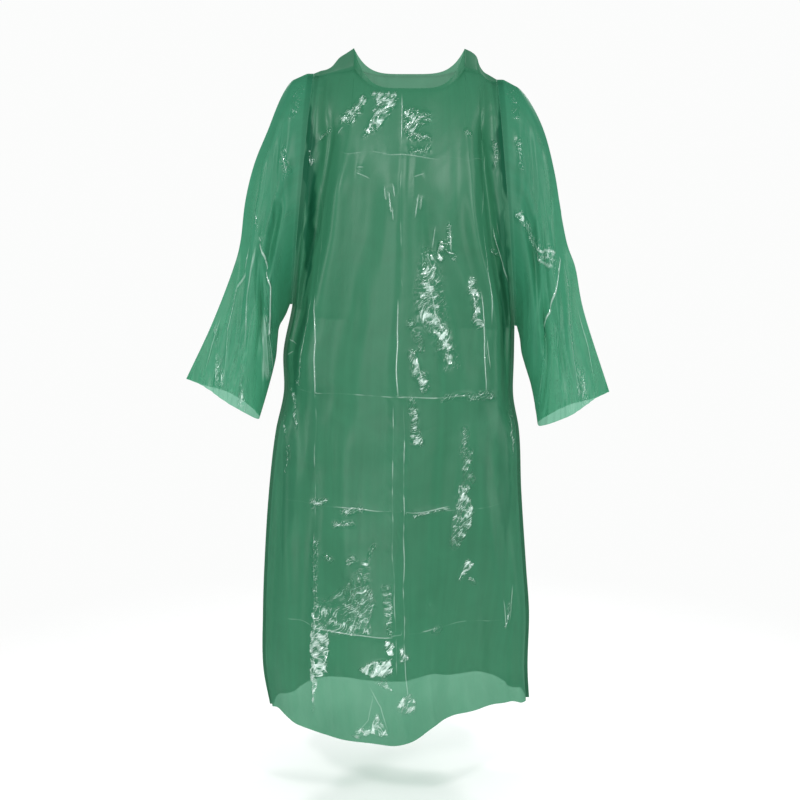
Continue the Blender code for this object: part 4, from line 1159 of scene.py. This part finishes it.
frontFoldShade = (
    # painted shade in the folds beside the armholes and down the sides, drawn as film that lies in several
    # layers: strength, reach and places in mm
    (0.86, 12, (-170, -10), (-178, -90), (-180, -160), (-176, -240), (-182, -340), (-196, -430)),
    (0.55, 10, (-190, -140), (-196, -240), (-204, -330)),
    (0.8, 10, (176, -20), (180, -90), (186, -160), (188, -240)),
    (0.62, 14, (180, -200), (186, -330), (192, -420), (190, -540)),
    (0.42, 13, (-180, -380), (-206, -500), (-214, -620)),
    (0.28, 18, (176, -580), (188, -720), (196, -900)),
    (0.28, 18, (-206, -600), (-222, -760), (-236, -940)),
)
backFoldShade = (
    # painted shade in the folds beside the armholes and down the sides of the back
    (0.8, 11, (-170, -30), (-178, -120), (-180, -220), (-186, -320)),
    (0.8, 11, (174, -40), (180, -120), (184, -220), (188, -330)),
    (0.35, 14, (150, -520), (160, -700), (166, -860)),
    (0.35, 14, (-170, -520), (-184, -700), (-196, -860)),
)


panelWear = {
    "wobble": 0.0012,
    "crumple": 1.22,
    "broken": (0.94, 0.22, 0.016),  # crumpled places are broken up, with ragged outlines
    "sideHold": (0.004, 0.040),  # seams hold the film still
    "topHold": (0.002, 0.030),
    "puckered": (-0.1, 0.9, 0.09),  # the puckers beside a seam come and go
    "flutter": {"height": 0.0025, "size": 0.055, "stretch": 0.25},
    "flutterReach": 0.11,
    "drape": {"height": 0.0016, "size": 0.110, "stretch": 0.18},
    "emboss": {"height": 0.0004, "at": 0.012, "reach": 0.0011},  # the pressed line of the armhole seal
    "handled": (0.02, 0.06, 0.09),
    "creasedShare": 0.25,
    "crumpleMost": 1.3,
    "sideCalm": (0.001, 0.012),
    "topCalm": (0.0, 0.010),
    # outline of the painted shade in folds
    "foldShade": {"edges": (0.70, 1.20), "stray": 0.003, "fade": 0.35},
    # the front film is darker near its hem: how much darker, and where that fades out
    "hemDarkening": (0.16, 0.020, 0.090),
}


def uneven(place, numbers, seed):  # a level with an uneven field on top: level, share and size of the waves
    level, share, size = numbers
    return level + share * wander(place, size, seed)


def handled(place, numbers, seed):  # film that has been handled is crumpled a little, here and there
    level, share, size = numbers
    return level + share * np.maximum(wander(place, size, seed), 0.0)


def dressPanel(name, face, folds, crumples, patches, foldShade, seed):
    look, cloth = panelWear, makeCloth(face)
    points, place = cloth["points"], cloth["place"]
    outward = -1.0 if face == "front" else 1.0
    normal = gridNormals(points, False)
    if np.mean(normal[..., 1]) * outward < 0:
        normal = -normal
    seal, toSide, toTop, toHem = panelBands(cloth)
    height, creased, beside = pressFolds(cloth, folds, look["wobble"])
    loose = smoothStep(*look["sideHold"], toSide) * smoothStep(*look["topHold"], toTop)
    patchy = smoothStep(*look["puckered"][:2], wander(place, look["puckered"][2], seed + 5))
    height = height * loose
    height += patchy * (pucker(place, 1, toSide, "side", seed) + pucker(place, 0, toTop, "top", seed + 1))
    nearHem = 1.0 - smoothStep(0.0, look["flutterReach"], toHem)
    flutter = unevenly(place, look["flutter"], seed + 2) * nearHem
    height += (flutter + unevenly(place, look["drape"], seed + 3)) * loose
    height += cut["filmLift"] * (1.0 - seal)
    ridge = np.exp(-((toSide - look["emboss"]["at"]) / look["emboss"]["reach"]) ** 2)
    height += look["emboss"]["height"] * ridge * (place[..., 1] < 0.0)
    crumple = np.maximum(look["crumple"] * crumpled(cloth, crumples), patched(cloth, patches))
    crumple = crumple * uneven(place, look["broken"], 14)
    crumple = np.maximum(crumple, handled(place, look["handled"], seed + 4) + look["creasedShare"] * creased)
    calm = smoothStep(*look["sideCalm"], toSide) * smoothStep(*look["topCalm"], toTop)
    values = {"crumple": np.clip(crumple, 0.0, look["crumpleMost"]) * calm, "seal": seal, "calm": calm}
    values.update({"crease": creased * loose, "beside": beside})
    # painted shade in the folds beside the armholes and down the sides
    values["darkened"] = crumpled(cloth, foldShade, **look["foldShade"])
    if face == "front":  # the front film is darker near its hem
        hemDark, *reach = look["hemDarkening"]
        values["darkened"] = np.maximum(values["darkened"], hemDark * (1.0 - smoothStep(*reach, toHem)))
    across, down = np.gradient(points, axis=1), np.gradient(points, axis=0)
    sense = np.cross(down, across)[..., 1].mean() * outward
    piece = makeMesh(name, points + normal * height[..., None], False, sense < 0, values, place)
    crinkleFilm(piece, bodyFilm, seed, 1.0)
    print(name, "faces", len(piece.data.polygons))
    return piece


frontFilm = dressPanel("frontFilm", "front", frontFolds, frontCrumples, frontPatches, frontFoldShade, 21)
backFilm = dressPanel("backFilm", "back", backFolds, backCrumples, backPatches, backFoldShade, 35)


# the sleeves' film

sleeveGrid = {"rows": 206, "halfColumns": 108, "samples": (500, 900), "alongRing": 6.0, "downRow": 4.0}
sleeveCreases = {  # rows as in the tables of the panels, here and below
    "left": {
        "front": (
            ("straight", 3.6, 9, 0.05, (-274, -286), (-254, -382), (-261, -479)),
            ("straight", 1.6, 7, 0.25, (-278, -296), (-296, -400), (-304, -500)),
            ("crease", 1.6, 7, 0.2, (-262, -488), (-270, -520), (-275, -550)),
            ("crease", 1.8, 8, 0.2, (-290, -300), (-318, -390), (-338, -470), (-347, -600)),
            ("crease", 1.5, 7, 0.3, (-229, -128), (-220, -172)),
            ("soft", 3.6, 24, 0.3, (-206, -60), (-216, -140), (-222, -260)),
            ("soft", -4, 22, 0.3, (-232, -60), (-242, -170), (-240, -290)),
            ("soft", 3.6, 22, 0.3, (-256, -120), (-270, -210), (-280, -290)),
            ("soft", -3.8, 20, 0.3, (-300, -320), (-312, -420), (-322, -560)),
            ("soft", 3.4, 20, 0.3, (-280, -400), (-296, -500), (-306, -610)),
            ("crease", 1.3, 7, 0.3, (-352, -440), (-372, -500), (-388, -560)),
        ),
        "back": (
            ("crease", 2.4, 7, 0.12, (-270, -240), (-262, -330), (-266, -460)),
            ("crease", 1.8, 8, 0.2, (-296, -310), (-326, -420), (-350, -590)),
            ("soft", 3.6, 24, 0.3, (-208, -70), (-218, -160), (-224, -270)),
            ("soft", -4, 22, 0.3, (-234, -80), (-246, -190), (-246, -310)),
            ("soft", 3.4, 20, 0.3, (-284, -380), (-300, -480), (-312, -600)),
            ("crease", 1.4, 7, 0.3, (-250, -120), (-268, -190)),
        ),
    },
    "right": {
        "front": (
            ("straight", 3.6, 9, 0.06, (291, -326), (277, -405), (262, -483)),
            ("crease", 1.8, 8, 0.2, (300, -330), (312, -420), (320, -510), (334, -600)),
            ("crease", 1.5, 8, 0.25, (278, -130), (292, -220), (298, -300)),
            ("crease", 1.3, 7, 0.3, (208, -108), (216, -155)),
            ("crease", 2.2, 7, 0.2, (238, -296), (262, -312), (284, -318)),
            ("crease", 1.6, 7, 0.25, (244, -316), (262, -336), (276, -344)),
            ("soft", 3.6, 22, 0.3, (204, -60), (212, -150), (214, -270)),
            ("soft", -4, 22, 0.3, (228, -60), (238, -170), (238, -280)),
            ("soft", 3.4, 20, 0.3, (252, -100), (266, -190), (270, -270)),
            ("soft", -3.8, 20, 0.3, (286, -380), (296, -480), (308, -610)),
            ("soft", 3.4, 20, 0.3, (268, -470), (276, -560), (284, -650)),
            ("crease", 1.3, 7, 0.3, (330, -420), (350, -500), (366, -580)),
        ),
        "back": (
            ("crease", 2.2, 7, 0.15, (286, -260), (268, -380), (262, -500)),
            ("crease", 1.7, 8, 0.2, (302, -340), (318, -470), (336, -610)),
            ("soft", 3.6, 22, 0.3, (206, -70), (212, -160), (214, -280)),
            ("soft", -4, 22, 0.3, (230, -70), (240, -180), (238, -300)),
            ("soft", 3.4, 20, 0.3, (272, -460), (280, -560), (288, -650)),
            ("crease", 1.4, 7, 0.3, (246, -300), (272, -320)),
        ),
    },
}
sleeveCrumples = {
    "left": {
        "front": (
            (0.7, 10, (-262, -476), (-254, -484)),
            (0.6, 8, (-278, -250), (-276, -262)),
            (0.65, 12, (-362, -540), (-350, -560)),
            (0.65, 12, (-316, -586), (-304, -602)),
            (0.5, 9, (-366, -477), (-360, -508)),
            (0.45, 10, (-228, -130), (-220, -170)),
            (0.4, 14, (-200, -20), (-206, -60)),
        ),
        "back": (
            (0.7, 12, (-262, -450), (-256, -480)),
            (0.65, 14, (-350, -520), (-362, -560)),
            (0.5, 12, (-230, -150), (-236, -210)),
        ),
    },
    "right": {
        "front": (
            (0.9, 13, (214, -250), (228, -272), (240, -296)),
            (0.7, 10, (246, -306), (280, -328)),
            (0.6, 9, (208, -110), (216, -155)),
            (0.5, 10, (262, -500), (264, -530)),
            (0.6, 12, (330, -560), (345, -585)),
            (0.45, 12, (200, -20), (206, -60)),
        ),
        "back": (
            (0.85, 13, (216, -260), (240, -300)),
            (0.6, 12, (320, -540), (336, -580)),
            (0.5, 12, (232, -150), (240, -220)),
        ),
    },
}


sleeveWear = {
    "relief": 0.8,
    "wobble": 0.0004,
    "crumple": 1.30,
    "broken": (0.90, 0.26, 0.016),
    "seamHold": (0.010, 0.045),
    "foldHold": (0.2, 2.6),  # in rows from the outer fold, and from the seam under the arm
    "underHold": (0.1, 1.6),
    "puckered": (0.0, 1.0, 0.07),
    "underPuckers": (0.3, 1.5),
    "drape": {"height": 0.0014, "size": 0.085, "stretch": 0.3},
    "flutter": {"height": 0.0022, "size": 0.050, "stretch": 1.0},
    "flutterReach": 0.07,
    "seal": (0.0105, 0.0135),
    "underSeal": (0.35, 0.55),
    "handled": (0.03, 0.06, 0.08),
    "creasedShare": 0.25,
    "seamCalm": (0.003, 0.016),
    "foldCalm": (0.3, 2.4),
    "underCalm": (0.1, 1.4),
    "darkened": (0.24, 0.02, 0.30),  # the sleeve is darker towards the armhole seam
}


def sleeveCloth(side):
    rowFine = np.linspace(0.0, steps["yoke"], sleeveGrid["samples"][0])
    ringFine = np.linspace(-1.0, steps["sleeve"], sleeveGrid["samples"][1])
    downRow = np.full_like(ringFine, sleeveGrid["downRow"])
    alongRing = np.full_like(rowFine, sleeveGrid["alongRing"])
    rings = evenly(lambda ring: sleeveHalf(side, "front", downRow, ring), ringFine, sleeveGrid["rows"])
    parts = []
    for face in ("front", "back"):
        rows = evenly(lambda row: sleeveHalf(side, face, row, alongRing), rowFine, sleeveGrid["halfColumns"])
        row, ring = np.meshgrid(rows if face == "front" else rows[::-1][1:-1], rings)
        parts.append((sleeveHalf(side, face, row, ring), row, np.full(row.shape, face == "front")))
    points, row, isFront = (np.concatenate(part, 1) for part in zip(*parts))
    half = np.where(isFront, "front", "back")
    return {"points": points, "row": row, "half": half, "place": filmLengths(points, 0, 0)}, isFront


def dressSleeve(name, side, seed):
    look, (cloth, isFront) = sleeveWear, sleeveCloth(side)
    points, place, row = cloth["points"], cloth["place"], cloth["row"]
    outward = np.where(isFront, -1.0, 1.0)
    normal = gridNormals(points, True)
    if np.mean(normal[..., 1] * outward) < 0:
        normal = -normal
    height, creased, beside, crumple = (np.zeros(row.shape) for _ in range(4))
    for face in ("front", "back"):
        lift, crease, away = pressFolds(cloth, sleeveCreases[side][face], look["wobble"], face)
        height, creased = height + lift, np.maximum(creased, crease)
        beside = np.where(isFront == (face == "front"), away, beside)
        crumple = np.maximum(crumple, look["crumple"] * crumpled(cloth, sleeveCrumples[side][face], face))
    crumple = crumple * uneven(place, look["broken"], 14)
    toSeam, toCuff = place[..., 1] - place[:1, :, 1], place[-1:, :, 1] - place[..., 1]
    toUnder = steps["yoke"] - row
    loose = smoothStep(*look["seamHold"], toSeam) * smoothStep(*look["foldHold"], row)
    loose = loose * smoothStep(*look["underHold"], toUnder)
    patchy = smoothStep(*look["puckered"][:2], wander(place, look["puckered"][2], seed + 5))
    patchy = patchy * smoothStep(*look["underPuckers"], toUnder)
    nearCuff = 1.0 - smoothStep(0.0, look["flutterReach"], toCuff)
    height = height * loose + patchy * pucker(place, 0, toSeam, "armhole", seed)
    flutter = unevenly(place, look["flutter"], seed + 3) * nearCuff
    height += (unevenly(place, look["drape"], seed + 2) + flutter) * loose
    height += cut["filmLift"] * smoothStep(0.0, 1.0, row) * smoothStep(0.0, 1.0, toUnder)
    bandShare = mix(1.0, cut["armholeBand"] / cut["armpitBand"], yokeDown(row))
    seal = 1.0 - smoothStep(*look["seal"], toSeam * bandShare)
    seal = np.maximum(seal, 1.0 - smoothStep(*look["underSeal"], toUnder))
    crumple = np.maximum(crumple, handled(place, look["handled"], seed + 4) + look["creasedShare"] * creased)
    calm = smoothStep(*look["seamCalm"], toSeam) * smoothStep(*look["foldCalm"], row)
    calm = calm * smoothStep(*look["underCalm"], toUnder)
    sleeveDark, *reach = look["darkened"]
    values = {"crumple": np.clip(crumple, 0.0, 1.0) * calm, "seal": seal, "calm": calm}
    values.update({"crease": creased * loose, "beside": beside})
    # darker towards the armhole seam
    values["darkened"] = sleeveDark * (1.0 - smoothStep(*reach, toSeam))
    across, down = np.roll(points, -1, 1) - points, np.gradient(points, axis=0)
    sense = np.mean(np.cross(down, across)[..., 1] * outward)
    piece = makeMesh(name, points + normal * height[..., None], True, sense < 0, values, place)
    crinkleFilm(piece, sleeveFilm, seed, sleeveWear["relief"])
    print(name, "faces", len(piece.data.polygons))
    return piece


leftSleeve = dressSleeve("leftSleeveFilm", "left", 52)
rightSleeve = dressSleeve("rightSleeveFilm", "right", 64)


# what each film piece stands for, and its cut

panelCut = {"slot": "body_film", "flat": (0.72, 1.31), "area": 0.745}
sleeveCut = {"slot": "sleeve_film", "flat": (0.90, 0.65), "area": 0.205}
pieces = (
    (frontFilm, ("front_panel_top", "front_panel_middle", "front_panel_lower"), panelCut),
    (backFilm, ("back_panel_top", "back_panel_middle", "back_panel_lower"), panelCut),
    (leftSleeve, ("left_sleeve",), sleeveCut),
    (rightSleeve, ("right_sleeve",), sleeveCut),
)
for piece, nodes, film in pieces:
    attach(piece, "root")
    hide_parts(*nodes)


# floor, light and camera

room = {
    "floorZ": -1.38,
    "floorRadius": 7.0,
    "floorSides": 96,
    "floorColour": (0.93, 0.94, 0.93, 1.0),
    "floorRoughness": 0.6,
    "floorGloss": 0.2,
    "fadeFrom": 0.25,
    "fadeTo": 1.5,
    "backdrop": (0.97, 0.975, 0.97, 1.0),
    "surround": (0.40, 0.41, 0.42, 1.0),
}
lamps = (
    # name, place, aimed at, width, height, watts
    ("keyLeft", (-1.35, -2.5, 1.25), (0.0, 0.0, -0.45), 0.40, 0.40, 34.0),
    ("keyRight", (1.55, -2.35, 0.95), (0.0, 0.0, -0.60), 0.36, 0.50, 32.0),
    ("lowFront", (-0.35, -3.4, -0.15), (0.0, 0.0, -0.90), 0.40, 0.30, 16.0),
    ("lowLeft", (-1.10, -2.9, -0.70), (0.0, 0.0, -0.95), 0.24, 0.24, 7.0),
    ("lowRight", (0.95, -3.0, -0.60), (0.0, 0.0, -0.95), 0.24, 0.24, 7.0),
    ("stripLeft", (-2.6, -0.5, -0.1), (0.0, 0.0, -0.60), 0.45, 2.2, 22.0),
    ("stripRight", (2.6, -0.3, -0.1), (0.0, 0.0, -0.60), 0.45, 2.2, 22.0),
    ("rearLeft", (-1.5, 2.4, 1.1), (0.0, 0.0, -0.50), 0.50, 0.50, 38.0),
    ("rearRight", (1.4, 2.5, 0.8), (0.0, 0.0, -0.60), 0.50, 0.50, 34.0),
    ("rearLow", (0.30, 3.2, -0.40), (0.0, 0.0, -0.90), 0.36, 0.30, 14.0),
)
view = {"target": (-0.010, 0.0, -0.612), "distance": 3.13, "pitch": 10.4, "lens": 72.2, "sensor": 36.0}


def makeFloor():
    turns = [2 * math.pi * side / room["floorSides"] for side in range(room["floorSides"])]
    radius = room["floorRadius"]
    ring = [(radius * math.cos(turn), radius * math.sin(turn), room["floorZ"]) for turn in turns]
    mesh = bpy.data.meshes.new("floor")
    mesh.from_pydata(ring, [], [tuple(range(len(ring)))])
    floor = bpy.data.objects.new("floor", mesh)
    bpy.context.scene.collection.objects.link(floor)
    material = bpy.data.materials.new("plainFloor")
    wire = emptyTree(material)
    where = wire.make("ShaderNodeTexCoord", output=3)
    level = wire.make("ShaderNodeVectorMath", {"operation": "MULTIPLY"}, {0: where, 1: (1.0, 1.0, 0.0)})
    values = {"From Min": room["fadeFrom"], "From Max": room["fadeTo"]}
    values["Value"] = wire.make("ShaderNodeVectorMath", {"operation": "LENGTH"}, {0: level}, output=1)
    fade = wire.make("ShaderNodeMapRange", {"interpolation_type": "SMOOTHSTEP"}, values)
    values = {"Base Color": room["floorColour"], "Roughness": room["floorRoughness"]}
    values["Specular IOR Level"] = room["floorGloss"]
    paint = wire.make("ShaderNodeBsdfPrincipled", {}, values)
    both = mixShader(wire, fade, paint, wire.make("ShaderNodeBsdfTransparent"))
    wire.make("ShaderNodeOutputMaterial", {}, {"Surface": both})
    mesh.materials.append(material)


def makeRoom():
    world = bpy.data.worlds.new("studio")
    bpy.context.scene.world = world
    wire = emptyTree(world)
    seen = wire.make("ShaderNodeLightPath")
    lit = [{"Color": room[part], "Strength": 1.0} for part in ("surround", "backdrop")]
    surround, backdrop = (wire.make("ShaderNodeBackground", {}, values) for values in lit)
    wire.make("ShaderNodeOutputWorld", {}, {"Surface": mixShader(wire, seen, surround, backdrop)})
    for name, place, aim, width, height, watts in lamps:
        light = bpy.data.lights.new(name, "AREA")
        light.shape, light.size, light.size_y, light.energy = "RECTANGLE", width, height, watts
        lamp = bpy.data.objects.new(name, light)
        lamp.location = place
        lamp.rotation_euler = (Vector(aim) - Vector(place)).to_track_quat("-Z", "Y").to_euler()
        lamp.visible_camera = False
        bpy.context.scene.collection.objects.link(lamp)


def makeCamera():
    pitch = math.radians(view["pitch"])
    target = Vector(view["target"])
    lens = bpy.data.cameras.new("photoView")
    lens.lens, lens.sensor_width = view["lens"], view["sensor"]
    camera = bpy.data.objects.new("photoView", lens)
    camera.location = target + view["distance"] * Vector((0.0, -math.cos(pitch), math.sin(pitch)))
    camera.rotation_euler = (target - camera.location).to_track_quat("-Z", "Y").to_euler()
    bpy.context.scene.collection.objects.link(camera)
    bpy.context.scene.camera = camera


makeFloor()
makeRoom()
makeCamera()
bpy.context.scene.view_settings.view_transform = "Standard"
print("floor, light and camera set")
